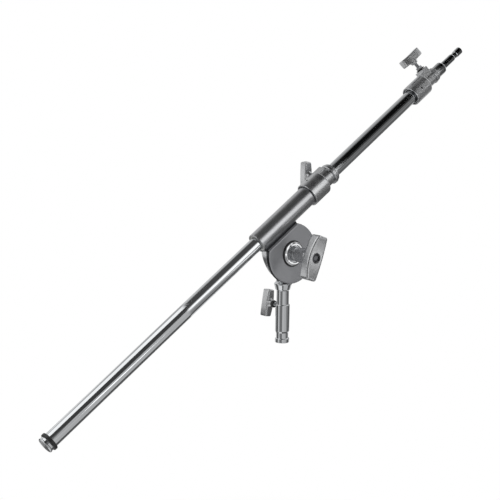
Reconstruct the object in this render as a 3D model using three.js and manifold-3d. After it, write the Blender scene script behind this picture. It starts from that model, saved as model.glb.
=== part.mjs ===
// Overhead boom arm for film and studio lighting.
// A telescoping boom slides in a sleeve on a tilting head, and the head turns on a junior spigot.
// Millimetres and degrees. Z is up, the boom lies in the XZ plane with its front end towards +X,
// the tilt axis is parallel to Y, and the origin is the middle of the spigot's lower end.

import * as THREE from "three";
import { mergeVertices } from "three/addons/utils/BufferGeometryUtils.js";
import Module from "manifold-3d";

const wasm = await Module();
wasm.setup();

// Facets round a turned surface, by how large it shows
const wideSides = 64;
const tubeSides = 40;
const pinSides = 32;
const smallSides = 24;
const boltSides = 16;
const hexSides = 6;
const filletSteps = 3;
const outlineSteps = 10;
const handleBevelSteps = 2;

// Fits shared by all pieces
const fits = {
  contactGap: 0.3,
  slidingGap: 0.35,
  edgeBreak: 0.8,
  cutOverrun: 2,
  joinOverlap: 1,
};

// Pose of the boom and of the handles
const pose = {
  boomAngle: 33.9,
  pivotHandleAngle: 70,
  midHandleAngle: -61,
  frontHandleAngle: 0,
  tieDownHandleAngle: 10,
};

// Junior spigot, from its tip upwards
const pin = {
  radius: 14.3,
  tipLength: 8,
  grooveRadius: 12.4,
  grooveLength: 12,
  bevelLength: 3.5,
  plainLength: 54,
  socketRadius: 8.1,
  socketDepth: 92,
};
const neck = {
  radius: 12.3,
  length: 29,
};
const flare = {
  lowRadius: 14.8,
  stepLength: 2,
  highRadius: 17.7,
  length: 10.5,
  lipLength: 2,
  shoulderLength: 4,
};
const stem = {
  radius: 14,
  length: 27,
};

// Pivot stack, measured towards the front of the spigot's axis
const pivot = {
  rise: 32.6,
  discRadius: 39.5,
  discFront: 17.4,
  discThickness: 23,
  boltRadius: 5,
  boltHeadFlats: 18,
  boltHeadHeight: 7,
  boltEndSetback: 3,
  frictionRadius: 38,
  frictionThickness: 2.5,
};
const plate = {
  radius: 60.5,
  thickness: 8.8,
  chordHeight: 41,
  edgeBevel: 1,
};
const bossRing = {
  radius: 24,
  height: 6.4,
  roundover: 2.4,
  recessRadius: 17.6,
  recessDepth: 2.6,
};
const thrustWasher = {
  radius: 16.4,
  height: 2.4,
};

// Sleeve that carries the boom, with its saddle on the head
const sleeve = {
  axisHeight: 62.4,
  axisSetback: -9.5,
  radius: 20.5,
  wall: 2.6,
  rearEnd: -50,
  rearBushingLength: 30,
  rearBushingInset: 1.6,
};
const saddle = {
  halfLength: 46,
  frontSetback: 8,
  rearReach: 11.4,
  footDepth: 9,
  discClearance: 1.6,
  cradleShare: 0.6,
};
const cheek = {
  innerRadius: 49,
  back: 1,
  startAngle: 128,
  endAngle: 186,
};

// Sliding boom tube and what sits on its rear end
const boomTube = {
  radius: 14.3,
  wall: 1.5,
  rearEnd: -601,
};
const endCap = {
  radius: 15.6,
  length: 7.6,
  bevel: 1.3,
  lipLength: 1.2,
  waistRadius: 14.8,
  plugLength: 24,
};
const bumper = {
  radius: 17.8,
  length: 6.6,
  roundover: 3,
};

// Clamp collars, each from its wide end to its flange
const midCollar = {
  start: 104.5,
  bodyRadius: 25.3,
  bodyLength: 45.5,
  corner: 4,
  mouthRadius: 22.6,
  mouthDepth: 3.2,
  seatLength: 37,
  neckRadius: 17.8,
  neckLength: 21.5,
  flangeRadius: 21.8,
  flangeLength: 7.4,
  flangeRound: 1.8,
  grooveRadius: 19,
  grooveLength: 1.2,
  lipRadius: 20,
  lipLength: 3,
  lugReach: 26,
  lugLength: 16,
  lugWidth: 19,
  lugAngle: 84,
  padReach: 16,
  padWidth: 40,
  clampSetback: 13,
  handleStandoff: 11.5,
  screwHoleOffset: 16.5,
  screwHoleAngle: 3,
};
const frontCollar = {
  start: 453.5,
  bodyRadius: 21.6,
  bodyLength: 49,
  corner: 4,
  mouthRadius: 19,
  mouthDepth: 5.2,
  seatLength: 41,
  neckRadius: 14.9,
  neckLength: 25.5,
  flangeRadius: 16.6,
  flangeLength: 5,
  flangeRound: 1.6,
  grooveRadius: 15,
  grooveLength: 1.4,
  lipRadius: 15.9,
  lipLength: 5,
  lugReach: 26.5,
  lugLength: 17.5,
  lugWidth: 26,
  lugAngle: 27,
  padReach: 20.5,
  padWidth: 26,
  clampSetback: 8.75,
  handleStandoff: 18.6,
  screwHoleOffset: 21.1,
  screwHoleAngle: -65,
};
const grubScrew = {
  radius: 1.9,
  inset: 0.5,
};
const brakeShoe = {
  radius: 5.2,
  length: 3.2,
};
const mouthRing = {
  length: 3,
};

// Extension that slides out of the boom tube, with its baby pin
const extension = {
  radius: 12,
  wall: 1.8,
  length: 628,
  endSetback: 1.4,
  glideLength: 26,
};
const babyPin = {
  baseRadius: 13.1,
  collarGap: 2.2,
  baseLength: 22,
  baseRound: 3,
  radius: 7.95,
  plainLength: 38.5,
  coneLength: 2,
  grooveRadius: 6.5,
  grooveLength: 9.6,
  tipLength: 18.4,
  tipBevel: 1.4,
  plugLength: 30,
};

// Cast T-handles
const smallHandle = {
  length: 55,
  depth: 17.5,
  waistDepth: 18.5,
  faceDip: 1.2,
  width: 19.5,
  endWidthShare: 0.8,
  bevel: 1.7,
  hubRadius: 8.6,
  hubTipRadius: 6.9,
  hubReach: 24.3,
};
const largeHandle = {
  length: 89,
  depth: 27,
  waistDepth: 27,
  faceDip: 4.4,
  width: 35.5,
  endWidthShare: 0.64,
  bevel: 2.8,
  hubRadius: 15.6,
  hubTipRadius: 13.8,
};
const largeHandleFace = 74;
const handleNut = {
  acrossFlats: 13.6,
  height: 5,
  recessRadius: 9.6,
  recessDepth: 9,
};
const handleScrew = {
  radius: 4,
  holdDepth: 14,
  tipBevel: 1,
};
const jamNut = {
  acrossFlats: 13,
  height: 5.6,
  seatGap: 0.8,
};
const jamWasher = {
  radius: 9.8,
  height: 2.2,
};
const tieDown = {
  height: 74.4,
  direction: 96.5,
  handleStandoff: 13,
};

// Colours and finishes
const finishes = {
  chromedSteel: { color: 0xc9cbce, roughness: 0.12, metalness: 1 },
  satinCasting: { color: 0x9c9d9e, roughness: 0.42, metalness: 1 },
  satinTube: { color: 0x6f7173, roughness: 0.34, metalness: 1 },
  zincSteel: { color: 0xb9bbbd, roughness: 0.3, metalness: 1 },
  blackRubber: { color: 0x161616, roughness: 0.7, metalness: 0 },
  blackPlastic: { color: 0x1b1c1d, roughness: 0.5, metalness: 0 },
  paleNylon: { color: 0xd9d8d2, roughness: 0.5, metalness: 0 },
  frictionFibre: { color: 0x3a3632, roughness: 0.85, metalness: 0 },
  brass: { color: 0xb08d4a, roughness: 0.35, metalness: 1 },
};

const radians = THREE.MathUtils.degToRad;

// Closed solid from a three.js geometry whose shared corners are welded
function solidFrom(geometry) {
  const welded = geometry.clone();
  welded.deleteAttribute("normal");
  welded.deleteAttribute("uv");
  const merged = mergeVertices(welded);
  const corners = Array.from(merged.index.array);
  const kept = [];
  for (let i = 0; i < corners.length; i += 3) {
    const [a, b, c] = corners.slice(i, i + 3);
    if (a !== b && b !== c && c !== a) {
      kept.push(a, b, c);
    }
  }
  const mesh = new wasm.Mesh({
    numProp: 3,
    vertProperties: new Float32Array(merged.attributes.position.array),
    triVerts: new Uint32Array(kept),
  });
  return new wasm.Manifold(mesh);
}

// Drawable geometry from a closed solid
function geometryFrom(solid) {
  const mesh = solid.getMesh();
  const geometry = new THREE.BufferGeometry();
  const positions = new THREE.BufferAttribute(new Float32Array(mesh.vertProperties), 3);
  geometry.setAttribute("position", positions);
  geometry.setIndex(new THREE.BufferAttribute(new Uint32Array(mesh.triVerts), 1));
  const faceted = geometry.toNonIndexed();
  faceted.computeVertexNormals();
  return faceted;
}

// Solid of revolution from [radius, distance along the axis] pairs, turned about Z
function turnedZ(profile, sides) {
  const points = profile.map(([radius, along]) => new THREE.Vector2(radius, along));
  const geometry = new THREE.LatheGeometry(points, sides);
  geometry.rotateX(Math.PI / 2);
  return solidFrom(geometry);
}

// The same solid of revolution about X
function turnedX(profile, sides) {
  return placed(turnedZ(profile, sides), new THREE.Matrix4().makeRotationY(Math.PI / 2));
}

// The same solid of revolution about Y, with distances counted towards the front, -Y
function turnedFront(profile, sides) {
  return placed(turnedZ(profile, sides), new THREE.Matrix4().makeRotationX(Math.PI / 2));
}

// Plain round bar from one distance to another
function barProfile(radius, from, to) {
  return [[0, from], [radius, from], [radius, to], [0, to]];
}

// Plain round pipe from one distance to another
function pipeProfile(innerRadius, outerRadius, from, to) {
  return [
    [innerRadius, from],
    [outerRadius, from],
    [outerRadius, to],
    [innerRadius, to],
    [innerRadius, from],
  ];
}

// Points of a quarter round between two angles, for use inside a profile
function roundPoints(centreRadius, centreAlong, round, startAngle, endAngle) {
  const points = [];
  for (let step = 0; step <= filletSteps; step += 1) {
    const angle = radians(startAngle + ((endAngle - startAngle) * step) / filletSteps);
    points.push([centreRadius + round * Math.cos(angle), centreAlong + round * Math.sin(angle)]);
  }
  return points;
}

// Box between two corners
function boxBetween(low, high) {
  const [width, depth, height] = high.map((value, axis) => value - low[axis]);
  const geometry = new THREE.BoxGeometry(width, depth, height);
  geometry.translate(...low.map((value, axis) => (value + high[axis]) / 2));
  return solidFrom(geometry);
}

// Flat outline in XY raised along Z from one height to another
function raised(points, from, to) {
  const shape = new THREE.Shape(points.map(([x, y]) => new THREE.Vector2(x, y)));
  const geometry = new THREE.ExtrudeGeometry(shape, { depth: to - from, bevelEnabled: false });
  geometry.translate(0, 0, from);
  return solidFrom(geometry);
}

// Regular hexagon of a given width across its flats
function hexagon(acrossFlats) {
  const corner = acrossFlats / 2 / Math.cos(Math.PI / hexSides);
  const points = [];
  for (let side = 0; side < hexSides; side += 1) {
    const angle = (side * 2 * Math.PI) / hexSides;
    points.push([corner * Math.cos(angle), corner * Math.sin(angle)]);
  }
  return points;
}

function placed(solid, matrix) {
  return solid.transform(matrix.elements);
}

// Matrix that lays Z along a direction square to X, at an angle from Z towards Y, and moves it
function aboutBoom(angle, along) {
  const turn = new THREE.Matrix4().makeRotationX(-radians(angle));
  return new THREE.Matrix4().makeTranslation(along, 0, 0).multiply(turn);
}

function part(name, solid, finish) {
  const material = new THREE.MeshStandardMaterial(finish);
  const mesh = new THREE.Mesh(geometryFrom(solid), material);
  mesh.name = name;
  return mesh;
}

// Heights along the spigot
const grooveTop = pin.tipLength + pin.grooveLength;
const plainBottom = grooveTop + pin.bevelLength;
const shoulder = plainBottom + pin.plainLength;
const neckTop = shoulder + neck.length;
const flareLow = neckTop + flare.stepLength;
const flareTop = flareLow + flare.length;
const lipTop = flareTop + flare.lipLength;
const stemLow = lipTop + flare.shoulderLength;
const stemTop = stemLow + stem.length;
const pivotHeight = stemTop + pivot.rise;

// Distances towards the front at which the pieces of the pivot stack begin
const frictionBack = pivot.discFront + fits.contactGap;
const plateBack = frictionBack + pivot.frictionThickness + fits.contactGap;
const plateFront = plateBack + plate.thickness;
const bossBack = plateFront + fits.contactGap;
const washerBack = bossBack + bossRing.height - bossRing.recessDepth + fits.contactGap;
const washerFront = washerBack + thrustWasher.height;
const handleFront = plateFront + largeHandleFace;
const recessFace = handleFront - largeHandle.faceDip;
const recessFloor = recessFace - handleNut.recessDepth;
const discBack = pivot.discFront - pivot.discThickness;

// Spigot casting: junior pin, neck, flare, stem and pivot disc in one piece
function spigotCasting() {
  const shaft = turnedZ([
    [0, 0],
    [pin.radius - fits.edgeBreak, 0],
    [pin.radius, fits.edgeBreak],
    [pin.radius, pin.tipLength - fits.edgeBreak],
    [pin.grooveRadius, pin.tipLength],
    [pin.grooveRadius, grooveTop],
    [pin.radius, plainBottom],
    [pin.radius, shoulder - fits.edgeBreak],
    [pin.radius - fits.edgeBreak, shoulder],
    [neck.radius, shoulder],
    [neck.radius, neckTop],
    [flare.lowRadius, flareLow],
    [flare.highRadius, flareTop],
    [flare.highRadius, lipTop],
    [stem.radius, stemLow],
    ...roundPoints(0, stemTop, stem.radius, 0, 90),
  ], tubeSides);
  const disc = turnedFront([
    [0, discBack],
    [pivot.discRadius - fits.edgeBreak, discBack],
    [pivot.discRadius, discBack + fits.edgeBreak],
    [pivot.discRadius, pivot.discFront],
    [0, pivot.discFront],
  ], wideSides);
  const raisedDisc = disc.translate([0, 0, pivotHeight]);
  const boltHole = turnedFront(
    barProfile(
      pivot.boltRadius + fits.contactGap,
      discBack - fits.cutOverrun,
      pivot.discFront + fits.cutOverrun,
    ),
    boltSides,
  ).translate([0, 0, pivotHeight]);
  const socket = turnedZ(barProfile(pin.socketRadius, -fits.cutOverrun, pin.socketDepth), smallSides);
  const screwHole = tieDownPlaced(
    turnedZ(barProfile(handleScrew.radius + fits.contactGap, 0, pin.radius + fits.cutOverrun), boltSides),
  );
  return shaft.add(raisedDisc).subtract(boltHole).subtract(socket).subtract(screwHole);
}

// Lays a solid built along Z on the axis of the tie-down screw
function tieDownPlaced(solid) {
  const level = new THREE.Matrix4().makeRotationY(Math.PI / 2);
  const turn = new THREE.Matrix4().makeRotationZ(radians(tieDown.direction));
  const lift = new THREE.Matrix4().makeTranslation(0, 0, tieDown.height);
  return placed(solid, lift.multiply(turn).multiply(level));
}

// Clamp bolt through the pivot, with its hexagon head behind the disc
function pivotBolt() {
  const headFront = discBack - fits.contactGap;
  const head = raised(hexagon(pivot.boltHeadFlats), headFront - pivot.boltHeadHeight, headFront);
  const shankEnd = recessFace - pivot.boltEndSetback;
  const shank = turnedZ([
    [0, headFront - fits.joinOverlap],
    [pivot.boltRadius, headFront - fits.joinOverlap],
    [pivot.boltRadius, shankEnd - fits.edgeBreak],
    [pivot.boltRadius - fits.edgeBreak, shankEnd],
    [0, shankEnd],
  ], boltSides);
  const bolt = placed(head.add(shank), new THREE.Matrix4().makeRotationX(Math.PI / 2));
  return bolt.translate([0, 0, pivotHeight]);
}

// Fibre disc between the two halves of the pivot
function frictionDisc() {
  return turnedFront(
    pipeProfile(
      pivot.boltRadius + fits.contactGap,
      pivot.frictionRadius,
      frictionBack,
      frictionBack + pivot.frictionThickness,
    ),
    tubeSides,
  );
}

// Outline of the skirt behind the rim of the head plate, in the plane of the plate
function cheekOutline() {
  const points = [];
  for (let step = 0; step <= outlineSteps; step += 1) {
    const angle = radians(cheek.startAngle + ((cheek.endAngle - cheek.startAngle) * step) / outlineSteps);
    points.push([plate.radius * Math.cos(angle), plate.radius * Math.sin(angle)]);
  }
  for (let step = outlineSteps; step >= 0; step -= 1) {
    const angle = radians(cheek.startAngle + ((cheek.endAngle - cheek.startAngle) * step) / outlineSteps);
    points.push([cheek.innerRadius * Math.cos(angle), cheek.innerRadius * Math.sin(angle)]);
  }
  return points;
}

// Head casting: clamp plate with a flat top, saddle under the sleeve and a tapering skirt at each end
function headCasting() {
  const disc = turnedFront([
    [0, plateBack],
    [plate.radius, plateBack],
    [plate.radius, plateFront - plate.edgeBevel],
    [plate.radius - plate.edgeBevel, plateFront],
    [0, plateFront],
  ], wideSides);
  const aboveChord = boxBetween(
    [-plate.radius - fits.cutOverrun, -plateFront - fits.cutOverrun, plate.chordHeight],
    [plate.radius + fits.cutOverrun, -plateBack + fits.cutOverrun, plate.radius + fits.cutOverrun],
  );
  const webFront = -plateFront + saddle.frontSetback;
  const saddleBottom = pivot.discRadius + saddle.discClearance;
  const cradleTop = sleeve.axisHeight - sleeve.radius * saddle.cradleShare;
  const foot = boxBetween(
    [-saddle.halfLength, webFront, plate.chordHeight - saddle.footDepth],
    [saddle.halfLength, -plateBack, sleeve.axisHeight],
  );
  const bridge = boxBetween(
    [-saddle.halfLength, webFront, saddleBottom],
    [saddle.halfLength, sleeve.axisSetback + saddle.rearReach, cradleTop],
  );
  const sleeveSpace = sleevePlaced(turnedX(
    barProfile(
      sleeve.radius + fits.contactGap,
      -saddle.halfLength - fits.cutOverrun,
      saddle.halfLength + fits.cutOverrun,
    ),
    tubeSides,
  ));
  const bore = turnedFront(
    barProfile(
      pivot.boltRadius + fits.slidingGap,
      plateBack - fits.cutOverrun,
      plateFront + fits.cutOverrun,
    ),
    boltSides,
  );
  const skirt = cheekSkirt();
  const mirrored = skirt.mirror([1, 0, 0]);
  return disc
    .subtract(aboveChord)
    .add(foot)
    .add(bridge)
    .add(skirt)
    .add(mirrored)
    .subtract(sleeveSpace)
    .subtract(bore);
}

// Skirt that grows deeper from its low end up to the saddle
function cheekSkirt() {
  const upright = new THREE.Matrix4().makeRotationX(Math.PI / 2);
  const sector = placed(raised(cheekOutline(), cheek.back, plateBack + fits.joinOverlap), upright);
  const lowEnd = radians(cheek.endAngle);
  const highEnd = radians(cheek.startAngle);
  const lowPoint = new THREE.Vector2(plate.radius * Math.cos(lowEnd), plate.radius * Math.sin(lowEnd));
  const highPoint = new THREE.Vector2(plate.radius * Math.cos(highEnd), plate.radius * Math.sin(highEnd));
  const run = highPoint.distanceTo(lowPoint);
  const rise = plateBack - cheek.back;
  const slope = Math.atan2(rise, run);
  const heading = Math.atan2(highPoint.y - lowPoint.y, highPoint.x - lowPoint.x);
  const reach = plate.radius + fits.cutOverrun;
  const block = boxBetween([-reach, 0, -reach], [run + reach, reach, reach]);
  const tilt = new THREE.Matrix4().makeRotationZ(slope);
  const turn = new THREE.Matrix4().makeRotationY(-heading);
  const move = new THREE.Matrix4().makeTranslation(lowPoint.x, -plateBack, lowPoint.y);
  return sector.subtract(placed(block, move.multiply(turn).multiply(tilt)));
}

// Moves a solid built about X onto the axis of the sleeve
function sleevePlaced(solid) {
  return solid.translate([0, sleeve.axisSetback, sleeve.axisHeight]);
}

// Stepped ring on the face of the head plate, with a recess for the washer
function bossRingSolid() {
  const front = bossBack + bossRing.height;
  const bore = pivot.boltRadius + fits.slidingGap;
  const round = bossRing.roundover;
  return turnedFront([
    [bore, bossBack],
    [bossRing.radius, bossBack],
    ...roundPoints(bossRing.radius - round, front - round, round, 0, 90),
    [bossRing.recessRadius, front],
    [bossRing.recessRadius, front - bossRing.recessDepth],
    [bore, front - bossRing.recessDepth],
    [bore, bossBack],
  ], tubeSides);
}

function thrustWasherSolid() {
  const bore = pivot.boltRadius + fits.slidingGap;
  return turnedFront([
    [bore, washerBack],
    [thrustWasher.radius, washerBack],
    [thrustWasher.radius, washerFront - fits.edgeBreak],
    [thrustWasher.radius - fits.edgeBreak, washerFront],
    [bore, washerFront],
    [bore, washerBack],
  ], tubeSides);
}

// Steel sleeve that the boom slides in
function sleeveSolid() {
  const bore = sleeve.radius - sleeve.wall;
  const frontEnd = seatBottom(midCollar);
  return turnedX([
    [bore, sleeve.rearEnd],
    [sleeve.radius - fits.edgeBreak, sleeve.rearEnd],
    [sleeve.radius, sleeve.rearEnd + fits.edgeBreak],
    [sleeve.radius, frontEnd],
    [bore, frontEnd],
    [bore, sleeve.rearEnd],
  ], tubeSides);
}

function rearBushing() {
  const start = sleeve.rearEnd + sleeve.rearBushingInset;
  const bore = boomTube.radius + fits.slidingGap;
  const rim = sleeve.radius - sleeve.wall - fits.contactGap;
  return turnedX([
    [bore + fits.edgeBreak, start],
    [rim, start],
    [rim, start + sleeve.rearBushingLength],
    [bore, start + sleeve.rearBushingLength],
    [bore, start + fits.edgeBreak],
    [bore + fits.edgeBreak, start],
  ], tubeSides);
}

// Clamp collar with a wide body, a neck with a square lug on a wider pad, and a ringed flange
function collarSolid(collar, seatRadius, gripRadius) {
  const bodyEnd = collar.start + collar.bodyLength;
  const neckEnd = bodyEnd + collar.neckLength;
  const flangeEnd = neckEnd + collar.flangeLength;
  const grooveEnd = flangeEnd + collar.grooveLength;
  const lipEnd = collarEnd(collar);
  const seatEnd = collar.start + collar.seatLength;
  const seat = seatRadius + fits.contactGap;
  const grip = gripRadius + fits.slidingGap;
  const casting = turnedX([
    [collar.mouthRadius, collar.start],
    [collar.bodyRadius - fits.edgeBreak, collar.start],
    [collar.bodyRadius, collar.start + fits.edgeBreak],
    ...roundPoints(collar.bodyRadius - collar.corner, bodyEnd - collar.corner, collar.corner, 0, 90),
    [collar.neckRadius, bodyEnd],
    [collar.neckRadius, neckEnd],
    [collar.flangeRadius - collar.flangeRound, neckEnd],
    [collar.flangeRadius, neckEnd + collar.flangeRound],
    [collar.flangeRadius, flangeEnd - collar.flangeRound],
    [collar.flangeRadius - collar.flangeRound, flangeEnd],
    [collar.grooveRadius, flangeEnd],
    [collar.grooveRadius, grooveEnd],
    [collar.lipRadius, grooveEnd],
    [collar.lipRadius, lipEnd - fits.edgeBreak],
    [collar.lipRadius - fits.edgeBreak, lipEnd],
    [grip, lipEnd],
    [grip, seatEnd],
    [seat, seatEnd],
    [seat, collar.start + collar.mouthDepth],
    [collar.mouthRadius, collar.start + collar.mouthDepth],
    [collar.mouthRadius, collar.start],
  ], tubeSides);
  const toClamp = aboutBoom(collar.lugAngle, clampPosition(collar));
  const toNeck = aboutBoom(collar.lugAngle, 0);
  const halfLug = collar.lugWidth / 2;
  const halfPad = collar.padWidth / 2;
  const lugRear = Math.max(neckEnd - collar.lugLength, bodyEnd);
  const lug = boxBetween([lugRear, -halfLug, 0], [neckEnd, halfLug, collar.lugReach]);
  const pad = boxBetween([bodyEnd, -halfPad, 0], [neckEnd, halfPad, collar.padReach]);
  const bore = turnedX(barProfile(grip, bodyEnd - collar.corner, lipEnd), tubeSides);
  const screwHole = barProfile(
    handleScrew.radius + fits.contactGap,
    0,
    collar.lugReach + fits.cutOverrun,
  );
  const shoeRoom = barProfile(brakeShoe.radius + fits.contactGap, 0, shoeTop(gripRadius));
  const grubHole = barProfile(
    grubScrew.radius + fits.contactGap,
    seat - fits.joinOverlap,
    collar.bodyRadius + fits.cutOverrun,
  );
  const toGrubHole = aboutBoom(collar.screwHoleAngle, collar.start + collar.screwHoleOffset);
  return casting
    .add(placed(lug.add(pad), toNeck).subtract(bore))
    .subtract(placed(turnedZ(screwHole, boltSides), toClamp))
    .subtract(placed(turnedZ(shoeRoom, boltSides), toClamp))
    .subtract(placed(turnedZ(grubHole, boltSides), toGrubHole));
}

// Distance from the boom's axis to the outer end of the room for a brake shoe
function shoeTop(gripRadius) {
  return gripRadius + fits.slidingGap + brakeShoe.length + fits.contactGap;
}

// Grub screw that presses on the tube in a collar's seat
function grubScrewSolid(collar, seatRadius) {
  const tip = seatRadius + fits.contactGap;
  const top = collar.bodyRadius - grubScrew.inset;
  return placed(
    turnedZ(barProfile(grubScrew.radius, tip, top), boltSides),
    aboutBoom(collar.screwHoleAngle, collar.start + collar.screwHoleOffset),
  );
}

// Soft pad that the handle's screw presses on the tube
function brakeShoeSolid(collar, gripRadius) {
  const bottom = gripRadius + fits.slidingGap;
  const middle = clampPosition(collar);
  const reach = brakeShoe.radius + fits.cutOverrun;
  const pad = placed(
    turnedZ(barProfile(brakeShoe.radius, 0, bottom + brakeShoe.length), boltSides),
    aboutBoom(collar.lugAngle, middle),
  );
  const tubeSpace = turnedX(barProfile(bottom, middle - reach, middle + reach), tubeSides);
  return pad.subtract(tubeSpace);
}

// Where a tube ends that is pushed fully into a collar
function seatBottom(collar) {
  return collar.start + collar.seatLength - fits.contactGap;
}

// Where a collar's lip ends
function collarEnd(collar) {
  const neckEnd = collar.start + collar.bodyLength + collar.neckLength;
  return neckEnd + collar.flangeLength + collar.grooveLength + collar.lipLength;
}

// Where the axis of a collar's clamp screw meets the axis of the boom
function clampPosition(collar) {
  return collar.start + collar.bodyLength + collar.neckLength - collar.clampSetback;
}

function boomTubeSolid() {
  return turnedX(
    pipeProfile(
      boomTube.radius - boomTube.wall,
      boomTube.radius,
      boomTube.rearEnd,
      seatBottom(frontCollar),
    ),
    tubeSides,
  );
}

// Plug with a wider head that closes the rear end of the boom
function endCapSolid() {
  const headFront = boomTube.rearEnd - fits.contactGap;
  const headRear = headFront - endCap.length;
  const lipEnd = headRear + endCap.bevel + endCap.lipLength;
  const plugRadius = boomTube.radius - boomTube.wall - fits.contactGap;
  return turnedX([
    [0, headRear],
    [endCap.radius - endCap.bevel, headRear],
    [endCap.radius, headRear + endCap.bevel],
    [endCap.radius, lipEnd],
    [endCap.waistRadius, lipEnd + endCap.bevel],
    [endCap.waistRadius, headFront],
    [plugRadius, headFront],
    [plugRadius, headFront + endCap.plugLength],
    [0, headFront + endCap.plugLength],
  ], tubeSides);
}

// Rubber ring that stops the boom at the sleeve
function bumperSolid() {
  const rear = boomTube.rearEnd + fits.contactGap;
  const bore = boomTube.radius + fits.contactGap;
  const core = bumper.radius - bumper.roundover;
  return turnedX([
    [bore, rear],
    ...roundPoints(core, rear + bumper.roundover, bumper.roundover, -90, 0),
    ...roundPoints(core, rear + bumper.length - bumper.roundover, bumper.roundover, 0, 90),
    [bore, rear + bumper.length],
    [bore, rear],
  ], pinSides);
}

// Black ring that lines the mouth of the front collar
function mouthRingSolid() {
  const front = frontCollar.start + frontCollar.mouthDepth - fits.contactGap;
  return turnedX(
    pipeProfile(
      boomTube.radius + fits.contactGap,
      frontCollar.mouthRadius - fits.contactGap,
      front - mouthRing.length,
      front,
    ),
    tubeSides,
  );
}

// Front end of the extension, just inside the lip of the front collar
function extensionFront() {
  return collarEnd(frontCollar) - extension.endSetback;
}

function extensionTubeSolid() {
  const front = extensionFront();
  return turnedX(
    pipeProfile(
      extension.radius - extension.wall,
      extension.radius,
      front - extension.length,
      front,
    ),
    tubeSides,
  );
}

// Nylon glide on the hidden end of the extension
function extensionGlide() {
  const headFront = extensionFront() - extension.length - fits.contactGap;
  const rear = headFront - extension.wall;
  const rim = boomTube.radius - boomTube.wall - fits.slidingGap;
  const plugRadius = extension.radius - extension.wall - fits.contactGap;
  return turnedX([
    [0, rear],
    [rim, rear],
    [rim, headFront],
    [plugRadius, headFront],
    [plugRadius, headFront + extension.glideLength],
    [0, headFront + extension.glideLength],
  ], smallSides);
}

// Baby pin with its base, which is plugged into the end of the extension
function babyPinSolid() {
  const front = extensionFront();
  const baseStart = collarEnd(frontCollar) + babyPin.collarGap;
  const baseEnd = baseStart + babyPin.baseLength;
  const pinStart = baseEnd + babyPin.baseRound;
  const coneStart = pinStart + babyPin.plainLength;
  const grooveStart = coneStart + babyPin.coneLength;
  const grooveEnd = grooveStart + babyPin.grooveLength;
  const tipEnd = grooveEnd + babyPin.tipLength;
  const plugRadius = extension.radius - extension.wall - fits.contactGap;
  const plugStart = front - babyPin.plugLength;
  return turnedX([
    [0, plugStart],
    [plugRadius, plugStart],
    [plugRadius, front + fits.contactGap],
    [extension.radius, front + fits.contactGap],
    [extension.radius, baseStart],
    [babyPin.baseRadius - fits.edgeBreak, baseStart],
    [babyPin.baseRadius, baseStart + fits.edgeBreak],
    ...roundPoints(babyPin.baseRadius - babyPin.baseRound, baseEnd, babyPin.baseRound, 0, 90),
    [babyPin.radius, pinStart],
    [babyPin.radius, coneStart],
    [babyPin.grooveRadius, grooveStart],
    [babyPin.grooveRadius, grooveEnd],
    [babyPin.radius, grooveEnd + fits.edgeBreak],
    [babyPin.radius, tipEnd - babyPin.tipBevel],
    [babyPin.radius - babyPin.tipBevel, tipEnd],
    [0, tipEnd],
  ], pinSides);
}

// Boat-shaped outline of a handle's bar, widest in the middle
function barOutline(handle) {
  const oneSide = [];
  for (let step = 0; step <= outlineSteps; step += 1) {
    const share = (step / outlineSteps) * 2 - 1;
    const widthShare = handle.endWidthShare + (1 - handle.endWidthShare) * (1 - share ** 2);
    oneSide.push([(handle.length / 2) * share, (-handle.width / 2) * widthShare]);
  }
  const otherSide = oneSide.map(([x, y]) => [x, -y]).reverse();
  return [...oneSide, ...otherSide];
}

// Outer face of a bar seen from its side, hollowed from end to end
function hollowFace(handle, face, reach) {
  const points = [];
  for (let step = 0; step <= outlineSteps; step += 1) {
    const share = 1 - (step / outlineSteps) * 2;
    points.push([reach * share, face - handle.faceDip * (1 - share ** 2)]);
  }
  return points;
}

// T-handle with its hub along Z and its bar along X, the ends of its outer face at a given height
function handleSolid(handle, face, hubBottom) {
  const shape = new THREE.Shape(barOutline(handle).map(([x, y]) => new THREE.Vector2(x, y)));
  const slab = new THREE.ExtrudeGeometry(shape, {
    depth: handle.waistDepth,
    bevelThickness: handle.bevel,
    bevelSize: handle.bevel,
    bevelOffset: -handle.bevel,
    bevelSegments: handleBevelSteps,
  });
  slab.translate(0, 0, face - handle.bevel - handle.waistDepth);
  const waist = face - handle.waistDepth;
  const reach = handle.length / 2 + fits.cutOverrun;
  const sideView = [
    [-reach, face - handle.depth],
    [-handle.hubRadius, waist],
    [handle.hubRadius, waist],
    [reach, face - handle.depth],
    ...hollowFace(handle, face, reach),
  ];
  const upright = new THREE.Matrix4().makeRotationX(Math.PI / 2);
  const envelope = placed(raised(sideView, -handle.width, handle.width), upright);
  const hub = turnedZ([
    [0, hubBottom],
    [handle.hubTipRadius - fits.edgeBreak, hubBottom],
    [handle.hubTipRadius, hubBottom + fits.edgeBreak],
    [handle.hubRadius, waist + fits.joinOverlap],
    [0, waist + fits.joinOverlap],
  ], smallSides);
  return solidFrom(slab).intersect(envelope).add(hub);
}

// Small handle with a blind hole for its screw
function smallHandleSolid(face) {
  const hubBottom = face - smallHandle.hubReach;
  const hole = turnedZ(
    barProfile(
      handleScrew.radius + fits.contactGap,
      hubBottom - fits.cutOverrun,
      hubBottom + handleScrew.holdDepth,
    ),
    boltSides,
  );
  return handleSolid(smallHandle, face, hubBottom).subtract(hole);
}

// Large handle bored through for the pivot bolt, with a round recess for its nut
function largeHandleSolid() {
  const hubBottom = washerFront + fits.contactGap;
  const hole = turnedZ(
    barProfile(pivot.boltRadius + fits.contactGap, hubBottom - fits.cutOverrun, handleFront),
    boltSides,
  );
  const recess = turnedZ(
    barProfile(handleNut.recessRadius, recessFloor, handleFront + fits.cutOverrun),
    smallSides,
  );
  return handleSolid(largeHandle, handleFront, hubBottom).subtract(hole).subtract(recess);
}

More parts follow.
